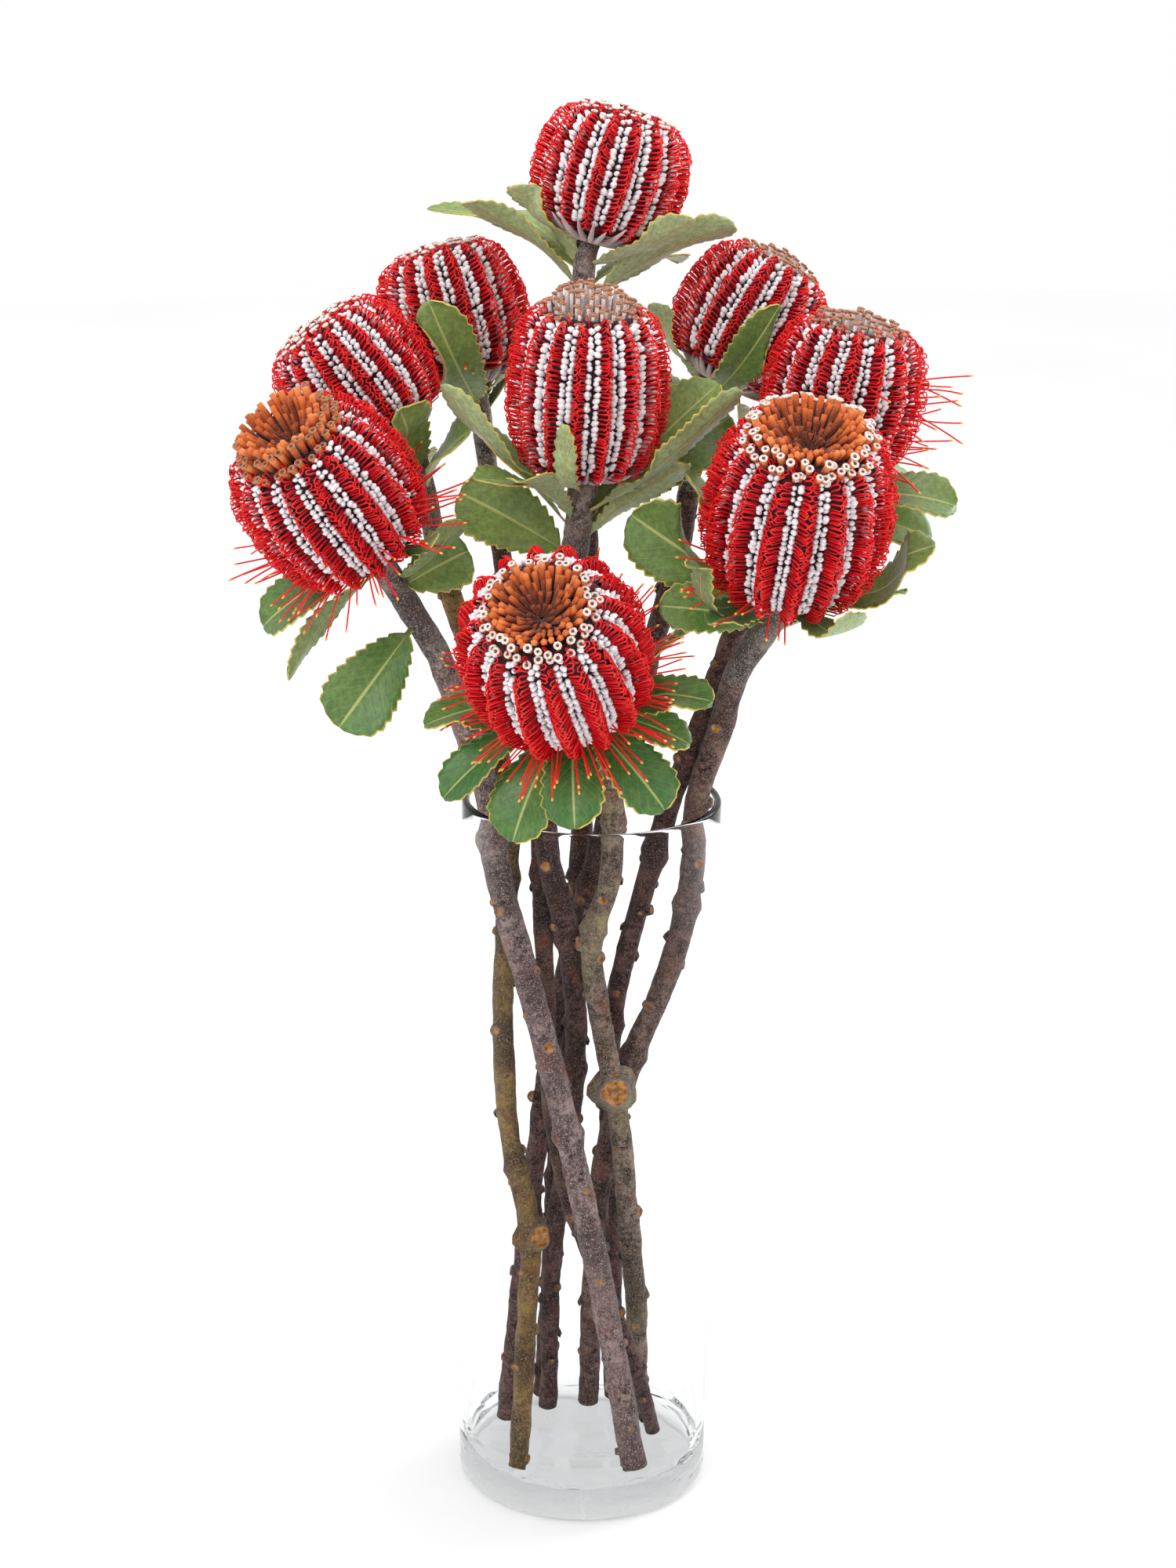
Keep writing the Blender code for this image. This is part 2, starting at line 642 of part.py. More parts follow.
def leaf(flower, distance, tip, width, roll, bow, into):
    """One leaf with a petiole sunk in the shoot and a toothed, arched and slightly cupped blade."""
    dense, at = flower_way(flower)
    root, along = on_way(dense, at, at[-1] - distance * MM)
    end = Vector(tip) * MM
    chord = end - root
    normal = along - along.project(chord)
    normal = Matrix.Rotation(math.radians(roll), 3, chord) @ normal.normalized()
    bend = root.lerp(end, 0.5) + normal * (2 * bow * chord.length)
    side = chord.cross(normal).normalized()

    def place(share, across):
        middle = root.lerp(bend, share).lerp(bend.lerp(end, share), share)
        slope = ((bend - root) * (1 - share) + (end - bend) * share).normalized()
        rise = side.cross(slope)
        point = middle + side * across * math.cos(CUP) + rise * abs(across) * math.sin(CUP)
        return clear_of_heads(point, flower) if share > 0 else point

    edge_at = [0.0, PETIOLE_SHARE]
    edge_width = [PETIOLE_HALF_WIDTH, PETIOLE_HALF_WIDTH]
    teeth = LEAF_TEETH if width > SMALL_LEAF_WIDTH else SMALL_LEAF_TEETH
    for share, peak in zigzag(PETIOLE_SHARE + 0.05, 0.97, teeth):
        edge_at.append(share)
        full = 0.5 * width * MM * leaf_half_width(share)
        edge_width.append(max(full * (1.0 if peak else NOTCH), PETIOLE_HALF_WIDTH))
    middle_at = [0.0, PETIOLE_SHARE, 0.55, 1.0]
    points = [place(share, 0.0) for share in middle_at]
    middle = list(range(len(points)))
    faces = []
    for sign in (1, -1):
        start = len(points)
        points += [place(share, sign * half) for share, half in zip(edge_at, edge_width)]
        half_faces = strip(middle, middle_at, list(range(start, len(points))), edge_at)
        faces += half_faces if sign > 0 else [tuple(reversed(face)) for face in half_faces]
    made = mesh_object("leaf", points, faces, LEAF, into)
    shell = made.modifiers.new("Thickness", "SOLIDIFY")
    shell.thickness = LEAF_THICKNESS
    shell.offset = 0
    return made


def shoot(flower, name, into, cutters):
    """The leafy end of a stem, with its leaves grown to it."""
    dense, at = flower_way(flower)
    start = at[-1] - flower.shoot
    distances = [start, *spread(start, at[-1] - GAP, SHOOT_STEP)]
    distances[1] = start + SPLIT_LEAD
    centres = [on_way(dense, at, d)[0] for d in distances]
    radii = [stem_radius(flower, d / at[-1]) for d in distances]
    body = tube(name, centres, radii, LEAF, into)
    blades = [leaf(flower, *one, cutters) for one in flower.leaves]
    return union(body, blades, into)


def vase(into):
    """A straight glass cylinder with a thick floor, a rounded heel and a softened rim."""
    radius, height, heel = VASE_RADIUS, VASE_HEIGHT, VASE_HEEL
    inner = radius - VASE_WALL
    rim = 0.5 * VASE_WALL
    profile = [(radius - rim, height), (radius, height - rim)]
    for k in range(3):
        angle = 0.5 * math.pi * k / 2
        profile.append((radius - heel + heel * math.cos(angle), heel - heel * math.sin(angle)))
    profile.append((0.0, 0.0))
    inside = [(inner, height - rim), (inner, VASE_FLOOR + heel)]
    inside += [(inner - 0.3 * heel, VASE_FLOOR + 0.3 * heel), (inner - heel, VASE_FLOOR), (0.0, VASE_FLOOR)]
    return turned("vase", [(0.0, VASE_FLOOR), *reversed(inside[:-1]), *profile], VASE_SIDES, GLASS, into)


def place_head(made, flower):
    """Moves a head's piece, modelled on +Z at the origin, to its flower."""
    turn = flower.axis.to_track_quat("Z", "Y").to_matrix().to_4x4()
    made.matrix_world = Matrix.Translation(flower.base) @ turn @ Matrix.Rotation(flower.turn, 4, "Z")


def build():
    for old in list(bpy.data.objects):
        bpy.data.objects.remove(old)
    bouquet = collection("banksia_bouquet")
    cutters = collection("cutters")
    vase(bouquet)
    for number, flower in enumerate(FLOWERS, 1):
        stem(flower, f"stem_{number}", bouquet, cutters)
        shoot(flower, f"shoot_{number}", bouquet, cutters)
        for made in (
            wool(flower, f"wool_{number}", bouquet),
            styles(flower, f"styles_{number}", bouquet, cutters),
            crown(flower, f"crown_{number}", bouquet),
        ):
            place_head(made, flower)
    bpy.data.collections.remove(cutters)


build()
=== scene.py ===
"""Looks of the scarlet banksia bouquet: heads of looped styles, leaves, bark, clear glass and a studio."""

import math
import random

import bpy
import numpy as np
from mathutils import Matrix, Vector, noise


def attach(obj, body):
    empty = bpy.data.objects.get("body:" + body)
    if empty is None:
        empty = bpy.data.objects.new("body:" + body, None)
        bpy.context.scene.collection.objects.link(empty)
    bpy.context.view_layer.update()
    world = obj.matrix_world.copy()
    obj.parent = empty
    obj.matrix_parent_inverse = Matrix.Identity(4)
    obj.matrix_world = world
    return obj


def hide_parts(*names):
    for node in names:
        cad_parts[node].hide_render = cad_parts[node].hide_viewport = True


MM = 0.001
UP = np.array([0, 0, 1.0])

# Camera and studio
CAMERA_PLACE = (0.0, -1.43, 0.79)
CAMERA_PITCH = math.radians(17.08)
CAMERA_ROLL = math.radians(0.9)
CAMERA_LENS = 74.34
CAMERA_SHIFT = -0.0025
FLOOR_HALF = 4.0
FLOOR_GLOW = 0.36
LAMP_TARGET = (0, 0, 0.4)
LAMPS = [
    ("key", (-0.9, -1.5, 1.7), 0.7, 14),
    ("top", (0.3, 0.2, 2.1), 0.8, 9),
    ("rim", (1.3, 0.9, 1.0), 0.8, 12),
]

# Vase, as in the frame
VASE_RADIUS = 60 * MM
VASE_HEIGHT = 345 * MM
VASE_WALL = 3.5 * MM
VASE_FLOOR = 15 * MM
VASE_HEEL = 6 * MM
VASE_SIDES = 128
VASE_BENDS = 9
GLASS_DENSITY = 5.5
GLASS_DEPTH = (0.05, 0.16, 0.2, 1)
GLASS_IOR = 1.21
GLASS_SHINE = (0.2, 0.2, 0.2, 1)

# Heads, as shares of a head's largest radius and height
COLUMNS = 16
BEAD_SIZE = 1.62 * MM
BEAD_STEP = 2.45 * MM
BEAD_ASIDE = 1.6 * MM
BEAD_RADIUS = 0.85
CORE_RADIUS = 0.79
FOOT = 0.07
LOOP_STEP = 1.95 * MM
LOOP_ROOT = 0.8
LOOP_REACH = 1.03
LOOP_ASIDE = 2.5 * MM
LOOP_WIDTH = 2.1 * MM
LOOP_THICKNESS = 0.4 * MM
CROWN_RISE = 6.5 * MM
# Rows of fingers in a crown, from the outside in: how far out they reach as a share of the head's
# radius, their rise as a share of the crown's, where they start, the room for each, how thick they
# are, and whether they end in a ring. A bowl has a dip in its middle, and a dome has none. Room and
# thickness are in millimetres.
BOWL_ROWS = [
    (0.64, 0.12, 0.52, 4.5, 1.5, True),
    (0.575, 0.7, 0.38, 4.6, 1.55, True),
    (0.5, 1.00, 0.24, 3.7, 1.3, False),
    (0.43, 0.8, 0.17, 3.6, 1.25, False),
    (0.35, 0.45, 0.11, 3.4, 1.2, False),
    (0.26, 0.00, 0.06, 3.1, 1.1, False),
    (0.15, -0.45, 0.02, 2.7, 1.0, False),
]
DOME_ROWS = [
    (0.64, 0.00, 0.6, 4.7, 0.95, True),
    (0.55, 0.3, 0.5, 4.8, 0.95, True),
    (0.45, 0.55, 0.4, 4.8, 0.95, True),
    (0.34, 0.78, 0.3, 4.8, 0.95, True),
    (0.22, 0.92, 0.19, 4.8, 0.95, True),
    (0.09, 1.00, 0.07, 4.8, 0.95, True),
]
CROWN_DEPTH = 6.5 * MM
RING_RADIUS = 1.32 * MM
RING_THICKNESS = 0.66 * MM
HOLE_RADIUS = 0.98 * MM
# A dome's rings and fingers, as shares of a bowl's.
DOME_RING = 0.86
DOME_FINGER = 0.85
RING_AROUND = 8
RING_ROUND = 4
BRACTS = 26
OPEN_STYLE_CROWD = 9
OPEN_STYLE_REACH = 33 * MM
OPEN_STYLE_THICKNESS = 0.45 * MM

# Stems
STEM_SIDES = 20
STEM_STEP = 2.7 * MM
SPLIT = 0.35 * MM
KNOT_HALF_LENGTH = 4.5 * MM
KNOT_SWELL = 0.24
KNOT_COLLAR = 2.0 * MM
STUB_SIDES = 18
# A cut side branch from its foot to the middle of its face: share of its length, size and shade.
STUB_PROFILE = [
    (0.0, 1.75, 0.3), (0.4, 1.38, 0.3), (0.75, 1.2, 0.3), (0.93, 1.12, 0.42), (1.0, 1.0, 0.46),
    (0.97, 0.9, 0.75), (0.93, 0.84, 1.0), (0.95, 0.45, 0.9), (0.94, 0.02, 0.7),
]
SCAR_SIDES = 11
# A leaf scar from its skirt to its middle: reach and rise as shares of its size, and its shade.
SCAR_PROFILE = [
    (1.5, -0.6, 0.3), (1.22, 0.35, 0.35), (1.0, 0.9, 0.42), (0.78, 0.85, 0.5), (0.66, 0.35, 1.0),
    (0.02, 0.5, 0.95),
]
HEAD_LEAD = 16 * MM
WAY_STEPS = 20

# Bark: its dark and light tones, the tone of its moss and how much of that there is.
BARK_COLOURS = {
    "dark_bark": ((0.014, 0.006, 0.007), (0.105, 0.052, 0.045), (0.14, 0.085, 0.045), 0.2),
    "brown_bark": ((0.022, 0.011, 0.01), (0.16, 0.094, 0.078), (0.17, 0.14, 0.09), 0.5),
    "grey_bark": ((0.046, 0.028, 0.03), (0.245, 0.172, 0.16), (0.24, 0.15, 0.13), 0.4),
    "moss_bark": ((0.038, 0.022, 0.016), (0.18, 0.13, 0.1), (0.36, 0.32, 0.13), 0.6),
    "olive_bark": ((0.036, 0.018, 0.008), (0.185, 0.11, 0.05), (0.36, 0.23, 0.05), 0.8),
    "young_bark": ((0.04, 0.03, 0.03), (0.2, 0.165, 0.15), (0.2, 0.19, 0.13), 0.4),
}
# The sides of a leaf: their olive and green tones, the tones of veins and edge, and the veins' relief.
LEAF_COLOURS = {
    "leaf_top": ((0.27, 0.35, 0.09), (0.04, 0.15, 0.02), (0.5, 0.55, 0.18), (0.7, 0.52, 0.06), 0.5),
    "leaf_under": ((0.43, 0.52, 0.25), (0.2, 0.31, 0.11), (0.66, 0.46, 0.13), (0.68, 0.5, 0.08), 0.7),
    "leaf_edge": ((0.55, 0.46, 0.1), (0.48, 0.43, 0.08), (0.5, 0.42, 0.12), (0.66, 0.5, 0.07), 0.2),
}

# Leaves
LEAF_THICKNESS = 0.7 * MM
LEAF_ACROSS = 5
TOOTH_STEP = 5.0 * MM
TOOTH_DEPTH = 1.6 * MM
LEAF_BREADTH = 1.12
LEAF_WAVE = 1.5 * MM
PETIOLE_SHARE = 0.14
PETIOLE_HALF_WIDTH = 1.2 * MM
CUP = math.radians(14)
CLEARANCE = 4 * MM
OPEN_CLEARANCE = 11 * MM
CLEARANCE_POWER = 4
FRAME_CROWN_RISE = 8 * MM


# What a flower has unless its own entry says otherwise.
USUAL = {
    "turn": 0, "knots": (), "stubs": (), "bark": "dark_bark", "green": 0.5, "aside": 1.0,
    "bract_reach": 0.42, "dome": False, "crown_rise": 1.0, "crown_width": 1.0, "ring": "tip",
    "fingers": "crown",
    "open_styles": 0, "open_side": (0, 0, 0), "open_least": -1, "open_top": 0.28,
}


def smooth_way(knots):
    """Close points on a Catmull-Rom curve through the knots, and the distance to each."""
    ends = [2 * knots[0] - knots[1], *knots, 2 * knots[-1] - knots[-2]]
    dense = []
    for a, b, c, d in zip(ends, ends[1:], ends[2:], ends[3:]):
        for k in range(WAY_STEPS):
            t = k / WAY_STEPS
            bent = (2 * a - 5 * b + 4 * c - d) * t * t + (3 * b - a - 3 * c + d) * t ** 3
            dense.append(0.5 * (2 * b + (c - a) * t + bent))
    dense.append(knots[-1])
    at = [0.0]
    for one, other in zip(dense, dense[1:]):
        at.append(at[-1] + (other - one).length)
    return np.array(dense), np.array(at)


class Flower:
    """One cut flower, from values in millimetres that are the same as in the frame. A stub has its
    distance from the foot, its way, radius and length. A leaf has its distance from the head, the
    place of its tip, its width, its roll in degrees and its bow as a share of its length."""

    def __init__(self, way, base, axis, radius, height, stem_radius, shoot, leaves, **more):
        self.__dict__.update(USUAL | more)
        self.base = Vector(base) * MM
        self.axis = Vector(axis).normalized()
        self.radius = radius * MM
        self.height = height * MM
        self.foot_radius, self.neck_radius = (r * MM for r in stem_radius)
        self.shoot = shoot * MM
        self.leaves = leaves
        self.knots = [distance * MM for distance in self.knots]
        points = [Vector(point) * MM for point in way]
        self.dense, self.at = smooth_way([*points, self.base - self.axis * HEAD_LEAD, self.base])
        turn = self.axis.to_track_quat("Z", "Y").to_matrix().to_4x4()
        turn = turn @ Matrix.Rotation(math.radians(self.turn), 4, "Z")
        self.matrix = Matrix.Translation(self.base) @ turn

    def on_way(self, distance):
        """Points of the stem's middle line at distances from its foot."""
        distance = np.clip(distance, 0, self.at[-1])
        return np.stack([np.interp(distance, self.at, self.dense[:, k]) for k in range(3)], -1)


FLOWERS = [
    Flower(
        way=[(-20, 41, 17), (-16, 40, 100), (-12, 38, 200), (-6, 38, 280), (-4, 38, 345), (-4, 37, 450),
             (-5, 36, 530)],
        base=(-3, 35, 600), axis=(0.26, 0.09, 0.96), radius=34, height=52, stem_radius=(4.9, 5.4), shoot=62,
        turn=4, green=0.25, dome=True, fingers="style", crown_rise=0.5, crown_width=1.05, aside=1.15,
        bract_reach=0.72, knots=(120, 330), stubs=[(200, (1, -0.4, 0.4), 2.2, 8)],
        leaves=[
            (22, -40, 10, 622, 18, 20, 0.1), (30, -63, 20, 613, 17, 30, 0.1),
            (20, -79, 58, 606, 15, 0, 0.08), (24, -44, 78, 602, 20, 0, 0.1),
            (16, 41, 6, 610, 20, -25, -0.06), (33, 60, 20, 605, 25, -35, 0.06),
            (28, 38, 82, 580, 22, 0, 0.12), (18, 4, 88, 610, 20, 0, 0.1),
        ],
    ),
    Flower(
        way=[(35, 4, 17), (24, -8, 62), (6, -14, 112), (-8, -16, 150), (-16, -14, 190), (-19, -9, 235),
             (-22, 0, 280), (-24, 11, 318), (-26, 21, 350), (-35, 34, 405), (-47, 47, 465)],
        base=(-59, 58, 530), axis=(-0.274, 0.156, 0.949), radius=33, height=58, stem_radius=(3.8, 4.9),
        shoot=58, turn=10, open_styles=6, open_side=(0.6, -0.5, -0.5), open_least=0.2, green=0.4, dome=True,
        fingers="style", crown_rise=0.4, knots=(95, 300), stubs=[(250, (-0.6, -0.6, 0.5), 2.0, 7)],
        leaves=[
            (14, -76, 6, 572, 26, -165, 0.16), (10, -27, 28, 560, 10, 0, -0.08),
            (18, -112, 88, 544, 22, 0, 0.1), (26, -62, 114, 538, 24, 0, 0.1), (22, -14, 92, 542, 22, 0, 0.1),
        ],
    ),
    Flower(
        way=[(-30, -33, 17), (-27, -28, 90), (-26, -20, 136), (-36, -14, 180), (-40, -7, 235), (-39, 5, 290),
             (-39, 14, 330), (-42, 16, 352), (-56, 13, 405), (-71, 8, 455)],
        base=(-91, 3, 515), axis=(-0.602, -0.03, 0.798), radius=33, height=56, stem_radius=(4.7, 5.1),
        shoot=60, bark="olive_bark", dome=True, fingers="style", crown_rise=0.45, knots=(150, 290),
        stubs=[(116, (0.6, -0.8, 0.25), 5.6, 8)],
        leaves=[
            (30, -86, -34, 531, 28, -140, -0.06), (36, -56, -12, 517, 26, 20, 0.1),
            (24, -84, 62, 482, 22, 0, 0.1), (22, -116, 58, 492, 24, 0, 0.12),
            (20, -138, 26, 478, 20, 0, 0.12),
        ],
    ),
    Flower(
        way=[(25, -31, 17), (9, -31, 107), (-4, -31, 168), (-13, -31, 207), (-24, -29, 250), (-36, -23, 290),
             (-44, -13, 321), (-47.5, -6, 345), (-58, -9, 379), (-70, -18, 415)],
        base=(-100, -40, 471), axis=(-0.471, -0.412, 0.78), radius=38, height=67, stem_radius=(6.2, 5.9),
        shoot=66, turn=6, open_styles=9, open_side=(0.3, 0.3, -0.9), open_least=-0.25, bark="grey_bark",
        ring="brown_tip", green=0.7, crown_rise=1.6, knots=(175, 320),
        stubs=[(220, (0.2, -1, 0.3), 2.4, 8), (285, (-0.5, -0.8, 0.4), 2.2, 8.5)],
        leaves=[
            (13, -80, -64, 486, 13, 60, 0), (22, -60, -52, 486, 16, -50, -0.1),
            (28, -56, -30, 467, 28, 50, 0.08), (8, -147, -35, 432, 25, -20, 0.1),
            (15, -134, -58, 414, 14, 70, 0.1), (46, -113, -46, 389, 32, -55, 0.06),
            (14, -122, 2, 452, 24, 0, 0.12),
        ],
    ),
    Flower(
        way=[(-17, 28, 17), (-16, 24, 101), (-11, 18, 146), (-7, 12, 190), (-6, 7, 233), (-10, -1, 274),
             (-19, -8, 315), (-22, -11, 345), (-19, -12, 391), (-12, -14, 443)],
        base=(-6, -20, 504), axis=(0.04, -0.13, 0.991), radius=34.5, height=71, stem_radius=(4.4, 6.3),
        shoot=72, turn=9, green=0.35, dome=True, fingers="stalk", crown_rise=1.6, ring="brown_tip",
        aside=1.2, bract_reach=0.6, knots=(190, 262), stubs=[(300, (-0.3, -0.9, 0.3), 2.4, 7.5)],
        leaves=[
            (12, -14, -66, 531, 10, 0, -0.14), (24, -68, -36, 542, 18, 30, -0.05),
            (24, 61, -54, 545, 16, -35, -0.05), (19, -53, -50, 503, 20, 0, 0.05),
            (29, -34, -68, 506, 18, 20, 0.1), (38, 40, -34, 508, 17, -50, 0.06),
            (43, -61, -20, 491, 33, -60, 0.06), (26, 54, 0, 538, 26, 25, 0.02),
            (31, 60, 18, 520, 30, 40, 0.04), (33, -66, 6, 525, 24, 10, 0.02),
        ],
    ),
    Flower(
        way=[(-38, 16, 17), (-31, 16, 90), (-25, 18, 150), (-18, 21, 210), (-9, 23, 260), (1, 23, 300),
             (12, 24, 345), (25, 29, 400), (40, 39, 460)],
        base=(55, 50, 535), axis=(0.485, 0.164, 0.859), radius=33, height=55, stem_radius=(5.0, 4.9),
        shoot=58, turn=3, green=0.4, dome=True, fingers="stalk", crown_rise=0.9, ring="brown_tip",
        knots=(110, 280), stubs=[(170, (-0.8, -0.5, 0.3), 2.4, 8)],
        leaves=[
            (16, 80, 4, 573, 20, 160, 0.16), (12, 23, 33, 568, 12, 30, 0.04),
            (27, 64, 102, 544, 24, 0, 0.04), (22, 108, 80, 538, 22, 0, 0.04), (26, 18, 78, 530, 22, 0, 0.1),
        ],
    ),
    Flower(
        way=[(16, 40, 17), (14, 34, 80), (12, 30, 140), (11, 28, 211), (15, 26, 245), (22, 20, 279),
             (30, 11, 313), (38, 6, 345), (50, 0, 382), (62, -2, 419), (77, -4, 457)],
        base=(103, -5, 506), axis=(0.199, 0.0, 0.98), radius=34.5, height=60, stem_radius=(4.9, 5.1),
        shoot=64, turn=7, open_styles=9, open_side=(1, -0.1, -0.1), open_least=0.15, open_top=0.72,
        green=0.6, dome=True, fingers="stalk", crown_rise=0.85, ring="brown_tip", knots=(205, 300),
        stubs=[(268, (0.9, -0.4, 0.2), 2.2, 7.5)],
        leaves=[
            (22, 161, -10, 486, 28, 30, 0.1), (30, 151, -5, 470, 28, 35, 0.1),
            (14, 58, 12, 528, 18, 10, 0.12), (20, 122, 52, 500, 24, 0, 0.12),
            (28, 150, 36, 486, 22, 0, 0.12),
        ],
    ),
    Flower(
        way=[(3, 34, 17), (4, 20, 80), (6, 10, 130), (9, 9, 160), (15, 10, 187), (24, 12, 218),
             (35, 12, 246), (44, 9, 279), (48, 4, 312), (49, 0, 345), (58, -11, 381), (66, -25, 415)],
        base=(83, -50, 460), axis=(0.091, -0.419, 0.904), radius=40, height=77, stem_radius=(5.1, 6.0),
        shoot=64, open_styles=6, open_top=0.14, open_side=(-0.75, -0.4, -0.5), open_least=0.6,
        bark="brown_bark", green=0.7, crown_width=1.1, knots=(200, 282),
        stubs=[(110, (-0.3, -0.9, 0.3), 4.2, 7.5), (304, (0.3, -0.9, 0.2), 2.4, 8)],
        leaves=[
            (18, 15, -46, 488, 33, -60, 0.04), (14, 38, -100, 478, 13, 20, 0.04),
            (20, 49, -90, 450, 15, 20, 0.05), (25, 28, -58, 450, 22, -30, 0.1),
            (13, 110, -98, 458, 15, 10, 0.06), (37, 135, -66, 460, 17, -40, 0.03),
            (17, 147, -62, 480, 23, 15, 0.04), (27, 31, -13, 507, 24, 30, 0.06),
            (18, 110, -2, 448, 22, 0, 0.12),
        ],
    ),
    Flower(
        way=[(27, 22, 17), (26, 10, 75), (21, 0, 130), (16, -5, 181), (11, -6, 209), (4, -5, 247),
             (1, -7, 277), (9, -13, 309), (10, -24, 344), (6, -36, 375), (-2, -50, 400)],
        base=(-10, -65, 411), axis=(-0.172, -0.719, 0.674), radius=40, height=76, stem_radius=(5.3, 5.1),
        shoot=40, turn=5, open_styles=12, bark="moss_bark", green=0.95, crown_width=0.96, knots=(270, 330),
        stubs=[(188, (0.1, -1, 0.15), 6.8, 8), (262, (-0.9, -0.4, 0.2), 3.0, 7.5)],
        leaves=[
            (8, -74, -66, 396, 28, 30, 0.08), (12, -65, -76, 366, 22, 15, 0.1),
            (14, -34, -84, 349, 30, 10, 0.08), (10, -7, -98, 360, 27, 0, 0.08),
            (12, 32, -88, 366, 27, -10, 0.08), (8, 52, -80, 413, 24, -25, 0.08),
            (14, 43, -68, 390, 20, -15, 0.1), (27, 42, -52, 438, 22, -30, 0.02),
        ],
    ),
]


def barrel(t):
    """A head's radius as a share of its largest one, at a share t of its height."""
    t = np.asarray(t, float)
    low = 1 - 0.27 * np.abs(1 - t / 0.5) ** 2.4
    far = np.clip(t - 0.5, 0, None) / 0.5
    high = 1 - 0.19 * far ** 2 - 0.13 * far ** 9
    return np.where(t < 0.5, low, high)


def polar(radius, angle, height):
    radius, angle, height = np.broadcast_arrays(radius, angle, height)
    return np.stack([radius * np.cos(angle), radius * np.sin(angle), height], -1)


def unit(vectors):
    return vectors / np.maximum(np.linalg.norm(vectors, axis=-1, keepdims=True), 1e-12)


def circle(sides):
    return 2 * math.pi * np.arange(sides) / sides


def spokes(one, other, angles):
    """Directions at some angles in the plane of two directions."""
    return one[..., None, :] * np.cos(angles)[:, None] + other[..., None, :] * np.sin(angles)[:, None]


def put(name, data):
    """A new object in the scene."""
    made = bpy.data.objects.new(name, data)
    bpy.context.scene.collection.objects.link(made)
    return made


def show(mesh, node, matrix=Matrix.Identity(4)):
    """A mesh as a smooth piece of the looks, in the place of a node of the frame."""
    mesh.transform(matrix)
    mesh.update()
    mesh.polygons.foreach_set("use_smooth", [True] * len(mesh.polygons))
    made = put(mesh.name, mesh)
    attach(made, "root")
    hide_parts(node)


class Shape:
    """Points, faces and a shade for each point, gathered from many small forms."""

    def __init__(self):
        self.points, self.faces, self.shades, self.count = [], [], [], 0

    def add(self, points, faces, shades):
        self.points.append(points)
        self.add_faces(np.asarray(faces) + self.count)
        self.shades.append(np.broadcast_to(shades, len(points)))
        self.count += len(points)

    def add_faces(self, faces):
        self.faces += [tuple(face) for face in faces.tolist()]

    def add_skin(self, rings, shades):
        """The sides of forms, from rings of points and each ring's shade. Returns the points' numbers."""
        rings = np.asarray(rings)
        number = np.arange(rings[..., 0].size).reshape(rings.shape[:-1])
        here, there = number[..., :-1, :], number[..., 1:, :]
        quads = np.stack([here, np.roll(here, -1, -1), np.roll(there, -1, -1), there], -1).reshape(-1, 4)
        shades = np.broadcast_to(shades, rings.shape[:-2]).reshape(-1)
        self.add(rings.reshape(-1, 3), quads, np.repeat(shades, rings.shape[-2]))
        return number + self.count - number.size

    def mesh(self, name, *looks):
        mesh = bpy.data.meshes.new(name)
        mesh.from_pydata(np.concatenate(self.points).tolist(), [], self.faces)
        shade = mesh.attributes.new("shade", "FLOAT", "POINT")
        shade.data.foreach_set("value", np.concatenate(self.shades).astype(np.float32))
        for look in looks:
            mesh.materials.append(LOOKS[look])
        return mesh

    def piece(self, node, part, look, slot, matrix=Matrix.Identity(4)):
        show(self.mesh(f"{node}_{part}", look), node, matrix)


def add_tubes(shape, ways, radii, sides, side_hint, shades):
    """Round bars along many ways at once. ways is bars by points by 3, and the rest fit it."""
    along = unit(np.gradient(ways, axis=1))
    across = unit(np.cross(along, side_hint[:, None, :]))
    ring = spokes(across, np.cross(along, across), circle(sides))
    radii = np.broadcast_to(radii, ways.shape[:2])
    number = shape.add_skin(ways[:, :, None, :] + ring * radii[:, :, None, None], shades)
    shape.add_faces(np.concatenate([number[:, 0, ::-1], number[:, -1]]))


def ball():
    """A small ball's points and faces: an octahedron divided once."""
    corners = ((1, 0, 0), (-1, 0, 0), (0, 1, 0), (0, -1, 0), (0, 0, 1), (0, 0, -1))
    points = [Vector(corner) for corner in corners]
    faces, middles = [], {}
    for corners in ((0, 2, 4), (2, 1, 4), (1, 3, 4), (3, 0, 4), (2, 0, 5), (1, 2, 5), (3, 1, 5), (0, 3, 5)):
        for pair in zip(corners, corners[1:] + corners[:1]):
            if frozenset(pair) not in middles:
                middles[frozenset(pair)] = len(points)
                points.append((points[pair[0]] + points[pair[1]]).normalized())
        a, b, c = corners
        ab, bc, ca = (middles[frozenset(pair)] for pair in ((a, b), (b, c), (c, a)))
        faces += [(a, ab, ca), (ab, b, bc), (ca, bc, c), (ab, bc, ca)]
    return np.array(points), np.array(faces)


BALL_POINTS, BALL_FACES = ball()


def add_balls(shape, centres, axes, shades, painted_shade_inward=0.0, draw=None):
    """Many small ovals. axes is balls by 3 by 3, the three half axes as rows. The far end of each oval's
    first axis is paler by a given amount, a painted shade that darkens its inner end, and a draw makes
    the ovals uneven."""
    corners = np.broadcast_to(BALL_POINTS, (len(centres), *BALL_POINTS.shape))
    if draw is not None:
        corners = corners * draw.uniform(0.84, 1.16, (*corners.shape[:2], 1))
    points = centres[:, None, :] + np.einsum("npk,nkj->npj", corners, axes)
    faces = BALL_FACES[None] + len(BALL_POINTS) * np.arange(len(centres))[:, None, None]
    # Painted shade: each oval is darker towards the inner end of its first axis.
    shade = np.asarray(shades)[:, None] + painted_shade_inward * BALL_POINTS[None, :, 0]
    shape.add(points.reshape(-1, 3), faces.reshape(-1, 3), shade.reshape(-1))


def add_turned(shape, profile, sides, shades):
    """A form turned about +Z, from (radius, height) pairs that run up its outer side."""
    profile = np.array(profile)
    return shape.add_skin(polar(profile[:, None, 0], circle(sides)[None], profile[:, None, 1]), shades)


